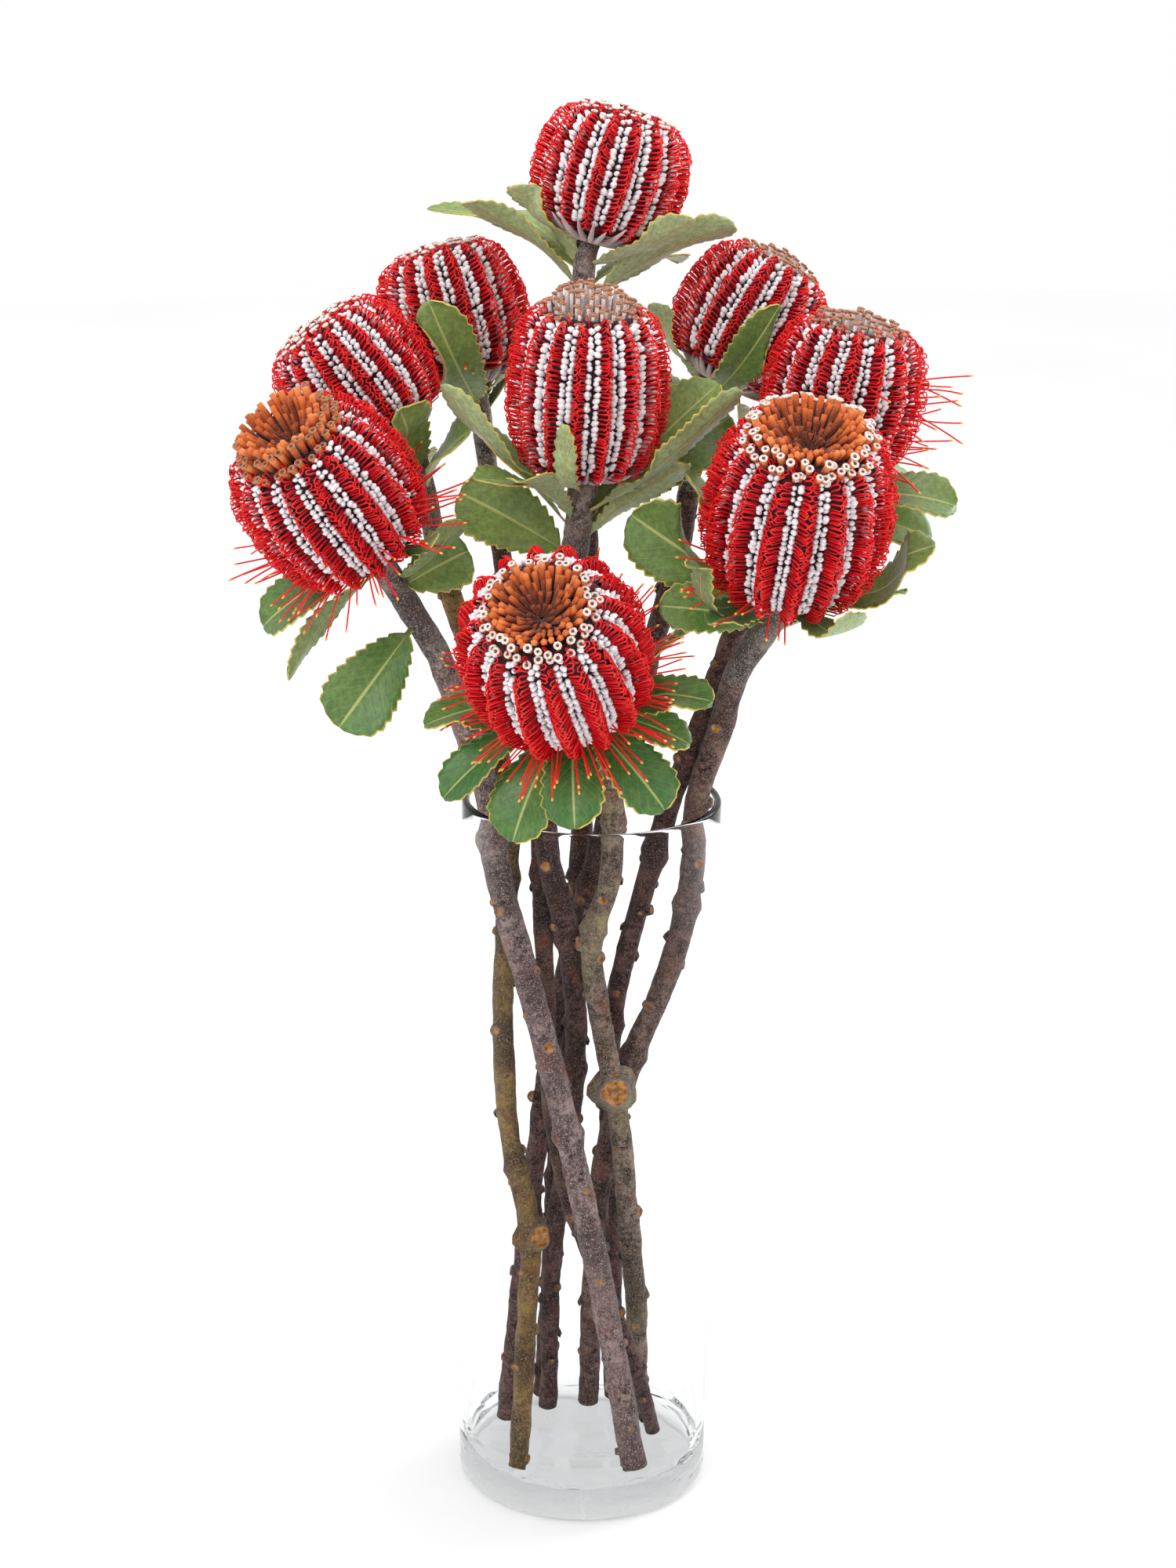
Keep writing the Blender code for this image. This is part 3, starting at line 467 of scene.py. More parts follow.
def core(flower, shape):
    """The body of a head, from its narrow foot to the dip in its top. Its dark tone is partly its own
    dark brown and partly painted shade between the columns.
    """
    radius, height = flower.radius, flower.height
    profile = [(0.2 * radius, -0.5 * MM), (0.5 * radius, 0.5 * MM)]
    for t in np.linspace(0.05, 0.98, 16):
        profile.append((CORE_RADIUS * radius * float(barrel(t)), t * height))
    for share, depth in ((0.56, -0.5), (0.46, 1.5), (0.3, 5.0), (0.12, 7.0), (0.003, 7.6)):
        profile.append((share * radius, height - depth * MM))
    # Shade 0, the darkest: partly the body's own dark brown, partly painted shade between the columns and
    # under the crown.
    add_turned(shape, profile, 48, 0.0)


def about(count, draw, low, high):
    """Angles all round, each moved by a draw between two shares of the room that it has."""
    return 2 * math.pi * (np.arange(count) + draw.uniform(low, high, count)) / count


def column_angles(offset):
    return 2 * math.pi * (np.arange(COLUMNS) + offset) / COLUMNS


def wool(flower, number):
    """Two rows of woolly beads in each pale column, over the dark body."""
    draw = np.random.default_rng(100 + number)
    radius, height = flower.radius, flower.height
    shape = Shape()
    core(flower, shape)
    steps = int(0.92 * height / BEAD_STEP)
    for side in (-1, 1):
        t = FOOT + (np.arange(steps) + 0.25 * (1 + side)) / steps * (0.99 - FOOT)
        angle = column_angles(0)[:, None] + side * flower.aside * BEAD_ASIDE / (BEAD_RADIUS * radius)
        angle = angle + draw.normal(0, 0.009, (COLUMNS, steps))
        t = t[None] + draw.normal(0, 0.14, (COLUMNS, steps)) * BEAD_STEP / height
        away = BEAD_RADIUS * radius * barrel(t) + draw.normal(0, 0.45 * MM, t.shape)
        centres = polar(away, angle, t * height).reshape(-1, 3)
        slope = 0.35 + 0.3 * draw.random(t.shape)
        leant = angle + side * draw.uniform(0.0, 0.35, t.shape)
        out = polar(np.cos(slope), leant, np.sin(slope)).reshape(-1, 3)
        turned = unit(np.cross(UP, out))
        size = BEAD_SIZE * flower.aside ** 0.5 * draw.uniform(0.8, 1.15, len(centres))
        axes = np.stack([out * 1.5, turned * 0.92, np.cross(out, turned) * 0.82], 1)
        shades = draw.uniform(0.56, 0.86, len(centres))
        # The beads are painted darker at their inner ends, as shade between them.
        add_balls(shape, centres, axes * size[:, None, None], shades, 0.32, draw)
    shape.piece(f"wool_{number}", "beads", "wool", "wool", flower.matrix)


def loops(flower, number):
    """Hairpin styles, stacked along both sides of each groove, that arch out and meet in its middle."""
    draw = np.random.default_rng(200 + number)
    radius, height = flower.radius, flower.height
    steps = int(0.95 * height / LOOP_STEP)
    shape = Shape()
    along = np.array([0.02, 0.45, 0.84, 1.02, 0.92, 0.55, 0.12])
    across = np.array([-0.2, -0.46, -0.5, 0.0, 0.5, 0.48, 0.26])
    for side in (-1, 1):
        t = 0.01 + (np.arange(steps) + 0.25 * (1 + side)) / steps * 0.96
        t = t[None] + draw.normal(0, 0.09, (COLUMNS, steps)) * LOOP_STEP / height
        middle = column_angles(0.5)[:, None]
        spread = math.pi / COLUMNS - flower.aside * LOOP_ASIDE / radius
        root_angle = middle + side * spread * draw.uniform(0.85, 1.1, t.shape)
        tip_angle = middle + side * spread * draw.uniform(-0.12, 0.18, t.shape)
        lift = (0.15 + 0.55 * t) * draw.uniform(0.8, 1.25, t.shape) * 0.2 * radius
        reach = LOOP_REACH * draw.uniform(0.975, 1.045, t.shape)
        turn = (0.5 * math.pi * along)[:, None, None]
        angle = root_angle + (tip_angle - root_angle) * (1 - np.cos(turn))
        level = t + lift / height * np.sin(turn)
        girth = LOOP_ROOT * barrel(t) * np.cos(turn) ** 2
        girth = girth + reach * barrel(np.clip(t + lift / height, 0, 1.06)) * np.sin(turn) ** 2
        ways = polar(girth * radius, angle, level * height).reshape(len(along), -1, 3).transpose(1, 0, 2)
        far = ways[:, 3] - ways[:, 0]
        hint = unit(ways[:, 3] * np.array([1.0, 1.0, 0.0]))
        upward = unit(np.cross(unit(far), np.cross(hint, UP)))
        upward = np.where(upward[:, 2:] < 0, -upward, upward)
        width = LOOP_WIDTH * draw.uniform(0.85, 1.15, (len(ways), 1, 1))
        ways = ways + upward[:, None, :] * across[None, :, None] * width
        thickness = LOOP_THICKNESS * draw.uniform(0.85, 1.15, (len(ways), 1))
        # Painted shade: each loop is darker at its roots down in the groove and lighter at the top of its
        # arch, with some random tone.
        tint = np.clip(along[None, :] * 0.8 + draw.uniform(-0.12, 0.2, (len(ways), 1)), 0, 1)
        add_tubes(shape, ways, thickness, 3, np.cross(far, upward), tint)
    # The disc at the foot is at the darkest shade, painted shade under the loops.
    disc = [(0.25, 0.0), (0.58, 0.0), (0.62, 0.05), (0.3, 0.09)]
    add_turned(shape, [(share * radius, up * height) for share, up in disc], 32, 0.0)
    tips = Shape()
    if flower.open_styles:
        open_styles(flower, number, shape, tips)
    shape.piece(f"styles_{number}", "loops", "style", "style", flower.matrix)
    if flower.open_styles:
        tips.piece(f"styles_{number}", "tips", "gold", "style", flower.matrix)


def open_styles(flower, number, shape, tips):
    """Straight styles that stand out round the foot, with golden tips."""
    draw = np.random.default_rng(300 + number)
    count = flower.open_styles * OPEN_STYLE_CROWD
    radius, height = flower.radius, flower.height
    angle = about(count, draw, 0, 0.9)
    t = draw.uniform(0.02, flower.open_top, count)
    slope = draw.uniform(-0.3, 0.45, count)
    reach = OPEN_STYLE_REACH * draw.uniform(0.65, 1.0, count)
    root = polar(0.72 * radius * barrel(t), angle, t * height)
    out = polar(np.cos(slope), angle + draw.normal(0, 0.1, count), np.sin(slope))
    bend = draw.normal(0, 0.08, (count, 1)) * UP
    s = np.linspace(0, 1, 6)[None, :, None]
    ways = root[:, None] + (out[:, None] * s + bend[:, None] * s * s) * reach[:, None, None]
    turned = np.array(flower.matrix.to_3x3())
    kept = (out @ turned.T) @ np.array(flower.open_side) > flower.open_least
    ways, out = ways[kept], out[kept]
    across = np.cross(out, UP)
    add_tubes(shape, ways, OPEN_STYLE_THICKNESS, 3, across, 0.75)
    sides = unit(across)
    axes = np.stack([out * 1.1, sides * 0.55, np.cross(out, sides) * 0.55], 1) * MM
    add_balls(tips, ways[:, -1], axes, np.full(len(out), 0.5))


def crown(flower, number):
    """Furry fingers on top of a head: a bowl of them with pale rings round it, or a low dome."""
    draw = np.random.default_rng(400 + number)
    width, height = flower.crown_width * flower.radius, flower.height
    low = height - CROWN_DEPTH
    fingers, tips, holes = Shape(), Shape(), Shape()
    s = np.linspace(0, 1, 6)
    rows, ring, full = (DOME_ROWS, DOME_RING, DOME_FINGER) if flower.dome else (BOWL_ROWS, 1.0, 1.0)
    for share, rise, start, crowd, thick, ringed in rows:
        count = max(5, round(2 * math.pi * share * width / (crowd * MM)))
        angle = about(count, draw, -0.25, 0.25)
        outer = share * width * draw.uniform(0.93, 1.06, count)
        top = height + CROWN_RISE * (rise * flower.crown_rise + draw.uniform(-0.3, 0.3, count))
        reach = start * width + (outer - start * width)[:, None] * s ** 0.75
        up = low + (top - low)[:, None] * s ** 1.25
        ways = polar(reach, angle[:, None] + draw.normal(0, 0.03, (count, 1)) * s, up)
        hint = polar(1.0, angle + math.pi / 2, 0.0)
        girth = full * (thick * MM) * (0.5 + 0.6 * np.sin(0.5 * math.pi * s))
        # Painted shade: each finger is darker at its foot down in the bowl and lighter at its tip; inner
        # rows are darker, partly the crown's own dark middle and partly painted shade.
        tint = (0.12 + 0.88 * s ** 1.6) * (0.22 + 0.8 * share / 0.6) * draw.uniform(0.6, 1.12, (count, 1))
        add_tubes(fingers, ways, girth[None], 5, hint, tint)
        if not ringed:
            continue
        look = unit(ways[:, -1] - ways[:, -2] + 0.6 * MM * UP)
        add_rings(tips, ways[:, -1] + look * 0.5 * MM, look, ring * RING_RADIUS, ring * RING_THICKNESS, draw)
        add_holes(holes, ways[:, -1] + look * 0.6 * MM, look, ring * HOLE_RADIUS)
    node = f"crown_{number}"
    tips.piece(node, "tips", flower.ring, "wool", flower.matrix)
    holes.piece(node, "holes", "hole", "crown", flower.matrix)
    fingers.piece(node, "fingers", flower.fingers, "crown", flower.matrix)


def frame_of(look):
    side = unit(np.cross(look, np.array([0.13, 0.21, 0.97])))
    return side, np.cross(look, side)


def add_rings(shape, centres, look, radius, thickness, draw):
    """Small rings that face the way they look."""
    count = len(centres)
    spoke = spokes(*frame_of(look), circle(RING_AROUND))[:, :, None]
    turn = circle(RING_ROUND)[:, None]
    radius = radius * draw.uniform(0.85, 1.12, (count, 1, 1, 1))
    thickness = thickness * draw.uniform(0.85, 1.15, (count, RING_AROUND, 1, 1))
    points = centres[:, None, None] + spoke * (radius + thickness * np.cos(turn))
    points = points + look[:, None, None] * thickness * np.sin(turn)
    number = np.arange(count * RING_AROUND * RING_ROUND).reshape(count, RING_AROUND, RING_ROUND)
    beside = np.roll(number, -1, 1)
    quads = np.stack([number, beside, np.roll(beside, -1, 2), np.roll(number, -1, 2)], -1).reshape(-1, 4)
    shades = np.repeat(draw.uniform(0.6, 1.0, count), RING_AROUND * RING_ROUND)
    shape.add(points.reshape(-1, 3), quads, shades)


def add_holes(shape, centres, look, radius):
    """The brown middles of the rings, as low domes."""
    side, other = frame_of(look)
    axes = np.stack([look * 0.5, side, other], 1) * radius
    add_balls(shape, centres - look * 0.3 * MM, axes, np.full(len(centres), 0.5))


def bracts(flower, number):
    """Woolly mauve scales that clasp the foot of a head."""
    draw = np.random.default_rng(500 + number)
    shape = Shape()
    s = np.linspace(0, 1, 7)
    angle = about(BRACTS, draw, -0.2, 0.2)
    reach = flower.radius * (0.2 + (flower.bract_reach + draw.uniform(-0.12, 0.08, BRACTS))[:, None] * s)
    up = -4.0 * MM + (4.5 + draw.uniform(1.0, 6.0, BRACTS))[:, None] * MM * s ** 2.0
    ways = polar(reach, angle[:, None], up)
    hint = polar(1.0, angle + math.pi / 2, 0.0)
    thick = 1.6 * MM * np.sqrt(np.clip(1 - s ** 1.5, 0.02, 1))
    add_tubes(shape, ways, thick[None], 7, hint, draw.uniform(0.4, 1.0, (BRACTS, 1)))
    show(shape.mesh(f"bracts_{number}", "bract"), f"wool_{number}", flower.matrix)


def carried_frames(centres):
    """Directions along and across a line of points that don't spin about it."""
    along = unit(np.gradient(centres, axis=0))
    across = [unit(np.cross(along[0], np.array([0.0, 1.0, 0.0])))]
    for k in range(1, len(centres)):
        side = across[-1] - along[k] * float(across[-1] @ along[k])
        across.append(unit(side))
    across = np.array(across)
    return along, across, np.cross(along, across)


def bark(flower, first, last, seed, scarred):
    """The surface of a stem between two distances, with swellings, leaf scars and a cut end."""
    draw = np.random.default_rng(seed)
    stations = max(6, int((last - first) / STEM_STEP))
    distance = np.linspace(first, last, stations)
    centres = flower.on_way(distance)
    along, across, other = carried_frames(centres)
    radius = flower.foot_radius + (flower.neck_radius - flower.foot_radius) * distance / flower.at[-1]
    ring = spokes(across, other, circle(STEM_SIDES))
    radii = np.repeat(radius[:, None], STEM_SIDES, 1)
    for knot in flower.knots:
        swell = np.exp(-(((distance - knot) / KNOT_HALF_LENGTH) ** 2))
        collar = np.exp(-(((distance - knot) / KNOT_COLLAR) ** 2))
        radii *= 1 + KNOT_SWELL * swell[:, None] + 0.08 * collar[:, None]
    for i in range(stations):
        for j in range(STEM_SIDES):
            place = Vector(centres[i] + ring[i, j] * radius[i])
            radii[i, j] += 0.75 * MM * noise.noise(place * 70) + 0.35 * MM * noise.noise(place * 260)
    points = centres[:, None] + ring * radii[:, :, None]
    shape = Shape()
    shape.add_skin(points, 0.3)
    k = np.arange(STEM_SIDES)
    for end, sign in ((0, -1), (-1, 1)):
        rim = points[end]
        middle = centres[end] + along[end] * sign * 0.2 * MM
        inner = rim * 0.86 + centres[end] * 0.14 + along[end] * sign * 0.15 * MM
        one, two = (k, np.roll(k, -1))[::sign]
        far, last_one = (one + STEM_SIDES, two + STEM_SIDES), k * 0 + 2 * STEM_SIDES
        faces = np.stack([one, two, far[1], one, far[1], far[0], *far, last_one], -1).reshape(-1, 3)
        shades = [0.3] * STEM_SIDES + [0.95] * (STEM_SIDES + 1)
        shape.add(np.concatenate([rim, inner, middle[None]]), faces, shades)
    if scarred:
        spot, turn = draw.uniform(6, 16) * MM, draw.uniform(0, 2 * math.pi)
        while first + spot < last - 6 * MM:
            i = int(spot / (last - first) * (stations - 1))
            out = across[i] * math.cos(turn) + other[i] * math.sin(turn)
            add_scar(shape, centres[i] + out * radius[i], out, along[i], draw.uniform(1.5, 2.8) * MM, draw)
            spot += draw.uniform(9, 23) * MM
            turn += draw.uniform(1.7, 3.0)
    return shape


def add_scar(shape, foot, out, along, size, draw):
    """The mark of a fallen leaf or bud: a collar round a tan face, on a bump of the bark."""
    out = unit(out + 0.35 * along * draw.uniform(0.2, 1.0))
    side = unit(np.cross(along, out))
    up = np.cross(out, side)
    angle = circle(SCAR_SIDES)
    wide, tall = size * draw.uniform(0.95, 1.25), size * draw.uniform(0.75, 1.0)
    proud = draw.uniform(0.7, 1.7)
    rings = []
    for reach, rise, _ in SCAR_PROFILE:
        lump = 1 + draw.uniform(-0.08, 0.08, SCAR_SIDES)
        spoke = side * (np.cos(angle) * wide * lump)[:, None] + up * (np.sin(angle) * tall * lump)[:, None]
        rings.append(foot + spoke * reach + out * rise * proud * MM)
    shape.add_skin(rings, [shade for _, _, shade in SCAR_PROFILE])


def add_stub(shape, foot, way, radius):
    """A cut side branch: a swollen foot, a collar of bark, and a tan face that is a little sunken."""
    side, other = frame_of(unit(way))
    angle = circle(STUB_SIDES)
    lump = 1 + 0.07 * np.sin(3 * angle + 1) + 0.05 * np.sin(5 * angle)
    spoke = spokes(side, other, angle) * lump[:, None]
    rings = [foot + way * share + spoke * radius * size for share, size, _ in STUB_PROFILE]
    shape.add_skin(rings, [shade for _, _, shade in STUB_PROFILE])


def stem(flower, number):
    """The stem with its cut side branches, and the young shoot that carries it on."""
    end = flower.at[-1]
    shape = bark(flower, 0.0, end - flower.shoot - SPLIT, 600 + number, True)
    for distance, direction, size, length in flower.stubs:
        way = np.array(Vector(direction).normalized()) * length * MM
        add_stub(shape, flower.on_way(distance * MM), way, size * MM)
    shape.piece(f"stem_{number}", "bark", flower.bark, "stem_wood")
    shape = bark(flower, end - flower.shoot, end + 0.5 * MM, 700 + number, False)
    shape.piece(f"shoot_{number}", "bark", "young_bark", "stem_wood")


def leaf_half_width(share):
    u = (share - PETIOLE_SHARE) / (1 - PETIOLE_SHARE)
    if u <= 0:
        return 0.0
    return 1.26 * u ** 0.5 * max(1 - u ** 7, 0.0) ** 0.6


def clear_of_heads(point, flower):
    """The point, moved out of the room round any head that it is in."""
    for other in FLOWERS:
        room = OPEN_CLEARANCE if other.open_styles and other is flower else CLEARANCE
        half = 0.5 * (other.height + FRAME_CROWN_RISE)
        centre = other.base + other.axis * half
        away = point - centre
        along = away.dot(other.axis)
        across = (away - other.axis * along).length
        share = (
            (abs(along) / (half + CLEARANCE)) ** CLEARANCE_POWER
            + (across / (other.radius + room)) ** CLEARANCE_POWER
        ) ** (1 / CLEARANCE_POWER)
        if share < 1:
            point = centre + away / share
    return point


def leaf_grid(flower, distance, tip, width, roll, bow, draw):
    """Middle points of a leaf by station and place across, with each station's share of the length."""
    foot = flower.at[-1] - distance * MM
    root, near = Vector(flower.on_way(foot)), Vector(flower.on_way(foot + 1 * MM))
    along = (near - root).normalized()
    end = Vector(tip) * MM
    chord = end - root
    normal = along - along.project(chord)
    normal = Matrix.Rotation(math.radians(roll), 3, chord) @ normal.normalized()
    bend = root.lerp(end, 0.5) + normal * (2 * bow * chord.length)
    side = chord.cross(normal).normalized()
    blade = chord.length * (1 - PETIOLE_SHARE)
    teeth = max(4, round(blade / TOOTH_STEP))
    stations = [(share, 0.0) for share in (0.0, 0.05, 0.1, PETIOLE_SHARE)]
    for k in range(teeth):
        for phase, depth in ((0.25, 1.0), (0.6, 0.45), (0.95, 0.0)):
            share = PETIOLE_SHARE + (1 - PETIOLE_SHARE) * (k + phase) / teeth
            stations.append((share, depth if k else 0.5 * depth))
    wave = draw.uniform(0, 6)
    rows = []
    for share, notch in stations:
        full = max(0.5 * LEAF_BREADTH * width * MM * leaf_half_width(share), PETIOLE_HALF_WIDTH)
        edge = max(full - notch * TOOTH_DEPTH, PETIOLE_HALF_WIDTH) if share > PETIOLE_SHARE else full
        middle = root.lerp(bend, share).lerp(bend.lerp(end, share), share)
        slope = ((bend - root) * (1 - share) + (end - bend) * share).normalized()
        rise = side.cross(slope)
        row = []
        for place in np.linspace(-1, 1, 2 * LEAF_ACROSS - 1):
            across = place * (edge if abs(place) > 0.99 else full)
            ripple = LEAF_WAVE * abs(place) ** 2 * math.sin(9 * share + wave + 1.7 * np.sign(place))
            point = middle + side * across * math.cos(CUP)
            point += rise * (abs(across) * math.sin(CUP) + ripple * min(1, 3 * share))
            row.append(clear_of_heads(point, flower) if share > 0 else point)
        rows.append(row)
    return np.array(rows), np.array([share for share, _ in stations])


def leaves(flower, number):
    """All leaves of a shoot: a thin closed blade each, with toothed edges and its own map of veins."""
    draw = random.Random(800 + number)
    shape, maps, sides = Shape(), [], []
    for distance, *tip, width, roll, bow in flower.leaves:
        tone = min(1.0, max(0.0, flower.green + draw.uniform(-0.25, 0.25)))
        grid, shares = leaf_grid(flower, distance, tip, width, roll, bow, draw)
        stations, across, _ = grid.shape
        half = unit(np.cross(np.gradient(grid, axis=0), np.gradient(grid, axis=1))) * 0.5 * LEAF_THICKNESS
        spot = np.stack(np.meshgrid(shares, np.linspace(0, 1, across), indexing="ij"), -1)
        maps += [spot.reshape(-1, 2)] * 2
        number_of = np.arange(stations * across).reshape(stations, across)
        a, b = number_of[:-1, :-1], number_of[1:, :-1]
        c, d = number_of[1:, 1:], number_of[:-1, 1:]
        blade = np.stack([a, b, c, d], -1).reshape(-1, 4)
        rim = [*number_of[0, ::-1], *number_of[1:, 0], *number_of[-1, 1:], *number_of[-2:0:-1, -1]]
        after = np.roll(rim, -1)
        shift = stations * across
        edge = np.stack([rim, after, after + shift, np.add(rim, shift)], -1)
        points = np.concatenate([grid - half, grid + half]).reshape(-1, 3)
        shape.add(points, np.concatenate([blade[:, ::-1], blade + shift, edge]), tone)
        sides += [0] * len(blade) + [1] * len(blade) + [2] * len(edge)
    mesh = shape.mesh(f"shoot_{number}_leaves", *LEAF_COLOURS)
    corner = np.zeros(len(mesh.loops), np.int32)
    mesh.loops.foreach_get("vertex_index", corner)
    layer = mesh.uv_layers.new(name="UVMap")
    layer.data.foreach_set("uv", np.concatenate(maps)[corner].astype(np.float32).reshape(-1))
    mesh.polygons.foreach_set("material_index", sides)
    show(mesh, f"shoot_{number}")


def arc(middle, height, radius, first, last):
    """(radius, height) pairs on an arc about a middle, between two angles in degrees."""
    angles = np.radians(np.linspace(first, last, VASE_BENDS))
    return list(zip(middle + radius * np.cos(angles), height + radius * np.sin(angles)))


def vase():
    """The glass: straight walls, a heavy floor, a rounded heel and a rounded rim."""
    inner = VASE_RADIUS - VASE_WALL
    rim = 0.5 * VASE_WALL
    top, low, high = VASE_HEIGHT - rim, VASE_HEEL + 10 * MM, VASE_HEIGHT - rim - 10 * MM
    profile = [(0.02 * MM, 0.0), *arc(VASE_RADIUS - VASE_HEEL, VASE_HEEL, VASE_HEEL, -90, 0)]
    profile += [(VASE_RADIUS, z) for z in np.linspace(low, high, 10)]
    profile += arc(VASE_RADIUS - rim, top, rim, 0, 180)
    profile += [(inner, z) for z in np.linspace(high, VASE_FLOOR + low, 10)]
    profile += arc(inner - VASE_HEEL, VASE_FLOOR + VASE_HEEL, VASE_HEEL, 0, -90)
    profile.append((0.02 * MM, VASE_FLOOR))
    shape = Shape()
    number = add_turned(shape, profile, VASE_SIDES, 0.5)
    shape.add_faces(np.stack([number[0, ::-1], number[-1]]))
    shape.piece("vase", "glass", "glass", "vase_glass")


class Nodes:
    """A material's nodes, made and joined in few words."""

    def __init__(self, name):
        self.material = bpy.data.materials.new(name)
        self.material.use_nodes = True
        self.tree = self.material.node_tree
        self.shader = self.tree.nodes["Principled BSDF"]

    def feed(self, target, value):
        """A socket's value, or another node's output for it."""
        if isinstance(value, bpy.types.NodeSocket):
            self.tree.links.new(value, target)
        else:
            target.default_value = value

    def fill(self, node, values):
        for key, value in values.items():
            self.feed(node.inputs[key.replace("_", " ")], value)
        return node

    def add(self, kind, **values):
        return self.fill(self.tree.nodes.new(kind), values)

    def finish(self, colour, rough, relief=None, **values):
        """The material, with its colour, roughness and relief, and other values of its shader."""
        if relief:
            values["Normal"] = relief
        self.fill(self.shader, {"Base_Color": colour, "Roughness": rough, **values})
        return self.material

    def shade(self):
        node = self.add("ShaderNodeAttribute")
        node.attribute_name = "shade"
        return node.outputs["Fac"]

    def ramp(self, factor, stops, span=1.0):
        """Colours at stops along the factor, and the last stop may lie as far as the span."""
        if span != 1.0:
            factor = self.math("DIVIDE", factor, span)
        node = self.add("ShaderNodeValToRGB", Fac=factor)
        elements = node.color_ramp.elements
        elements[0].position, elements[1].position = stops[0][0] / span, stops[-1][0] / span
        for position, _ in stops[1:-1]:
            elements.new(position / span)
        for element, (_, colour) in zip(elements, stops):
            element.color = (*colour, 1)
        return node.outputs["Color"]

    def step(self, factor, low, high, most=1.0):
        """Nothing below low, and the most above high."""
        return self.ramp(factor, [(low, (0, 0, 0)), (high, (most, most, most))])

    def place(self):
        return self.add("ShaderNodeTexCoord").outputs["Object"]

    def noise(self, scale, detail=3.0, roughness=0.5, vector=None):
        values = {"Scale": scale, "Detail": detail, "Roughness": roughness, "Vector": vector or self.place()}
        return self.add("ShaderNodeTexNoise", **values).outputs["Fac"]

    def math(self, operation, a, b=0.0):
        node = self.add("ShaderNodeMath")
        node.operation = operation
        self.feed(node.inputs[0], a)
        self.feed(node.inputs[1], b)
        return node.outputs[0]

    def times(self, a, b):
        return self.math("MULTIPLY", a, b)

    def plus(self, a, b, share):
        return self.math("ADD", a, self.times(b, share))

    def mix(self, factor, a, b, blend="MIX"):
        node = self.add("ShaderNodeMix")
        node.data_type, node.blend_type = "RGBA", blend
        sockets = {socket.identifier: socket for socket in (*node.inputs, *node.outputs)}
        for key, value in (("Factor_Float", factor), ("A_Color", a), ("B_Color", b)):
            self.feed(sockets[key], (*value, 1) if isinstance(value, tuple) else value)
        return sockets["Result_Color"]

    def bump(self, height, strength, distance):
        node = self.add("ShaderNodeBump", Strength=strength, Distance=distance, Height=height)
        return node.outputs["Normal"]


def two_tone(name, scale, low, high, rough, **values):
    """Soft patches of two tones."""
    made = Nodes(name)
    return made.finish(made.ramp(made.noise(scale), [(0.3, low), (0.7, high)]), rough, **values)


def wool_look():
    made = Nodes("wool")
    fuzz = made.noise(1500.0, 4.0)
    shade = made.plus(made.plus(made.shade(), made.noise(170.0, 2.0), 0.3), fuzz, 0.2)
    # Low stops are the near-black body and the dark mauve of the beads' inner ends: painted shade, with some
    # of the body's own dark brown; the high stops are the wool's own white.
    stops = [
        (0.2, (0.035, 0.008, 0.014)), (0.42, (0.1, 0.04, 0.058)), (0.7, (0.23, 0.165, 0.195)),
        (0.92, (0.62, 0.57, 0.61)), (1.0, (0.9, 0.88, 0.9)),
    ]
    relief = made.bump(fuzz, 0.7, 0.0005)
    return made.finish(made.ramp(shade, stops), 0.95, relief, Sheen_Weight=0.35, Sheen_Roughness=0.4)


def style_look():
    made = Nodes("style")
    shade = made.plus(made.shade(), made.noise(140.0, 2.0), 0.35)
    # Low stops are painted shade at the loops' roots and on the disc at the foot; the high ones paint the
    # arches lighter, as lit.
    stops = [
        (0.1, (0.1, 0.001, 0.004)), (0.45, (0.5, 0.0015, 0.007)), (0.8, (0.84, 0.005, 0.011)),
        (1.15, (0.96, 0.035, 0.028)),
    ]
    return made.finish(made.ramp(shade, stops, 1.2), 0.28, Specular_IOR_Level=0.22)


def crown_look():
    made = Nodes("crown")
    fur = made.noise(1100.0, 4.0)
    shade = made.plus(made.shade(), made.noise(240.0, 3.0), 0.3)
    # Low stops are painted shade at the fingers' feet, partly the crown's own dark middle; high stops paint
    # the tips lighter, as lit.
    stops = [
        (0.16, (0.035, 0.007, 0.003)), (0.45, (0.2, 0.03, 0.006)), (0.8, (0.62, 0.125, 0.02)),
        (1.15, (0.86, 0.27, 0.07)),
    ]
    rust = made.mix(made.step(fur, 0.52, 0.75, 0.28), made.ramp(shade, stops, 1.15), (0.88, 0.34, 0.1))
    relief = made.bump(fur, 0.8, 0.0006)
    return made.finish(rust, 0.95, relief, Sheen_Weight=0.25, Sheen_Roughness=0.35)


def tip_look(name, low, high):
    made = Nodes(name)
    fuzz = made.noise(1400.0, 4.0)
    tone = made.ramp(fuzz, [(0.3, low), (0.62, high)])
    return made.finish(tone, 0.95, made.bump(fuzz, 0.7, 0.0005), Sheen_Weight=0.35)


def bract_look():
    made = Nodes("bract")
    fuzz = made.noise(1300.0, 4.0)
    mauve = made.ramp(made.noise(150.0), [(0.3, (0.33, 0.23, 0.26)), (0.7, (0.6, 0.5, 0.5))])
    tone = made.mix(made.times(fuzz, 0.5), mauve, (0.8, 0.72, 0.7))
    relief = made.bump(fuzz, 0.7, 0.0004)
    return made.finish(tone, 0.95, relief, Sheen_Weight=0.6, Sheen_Roughness=0.35)


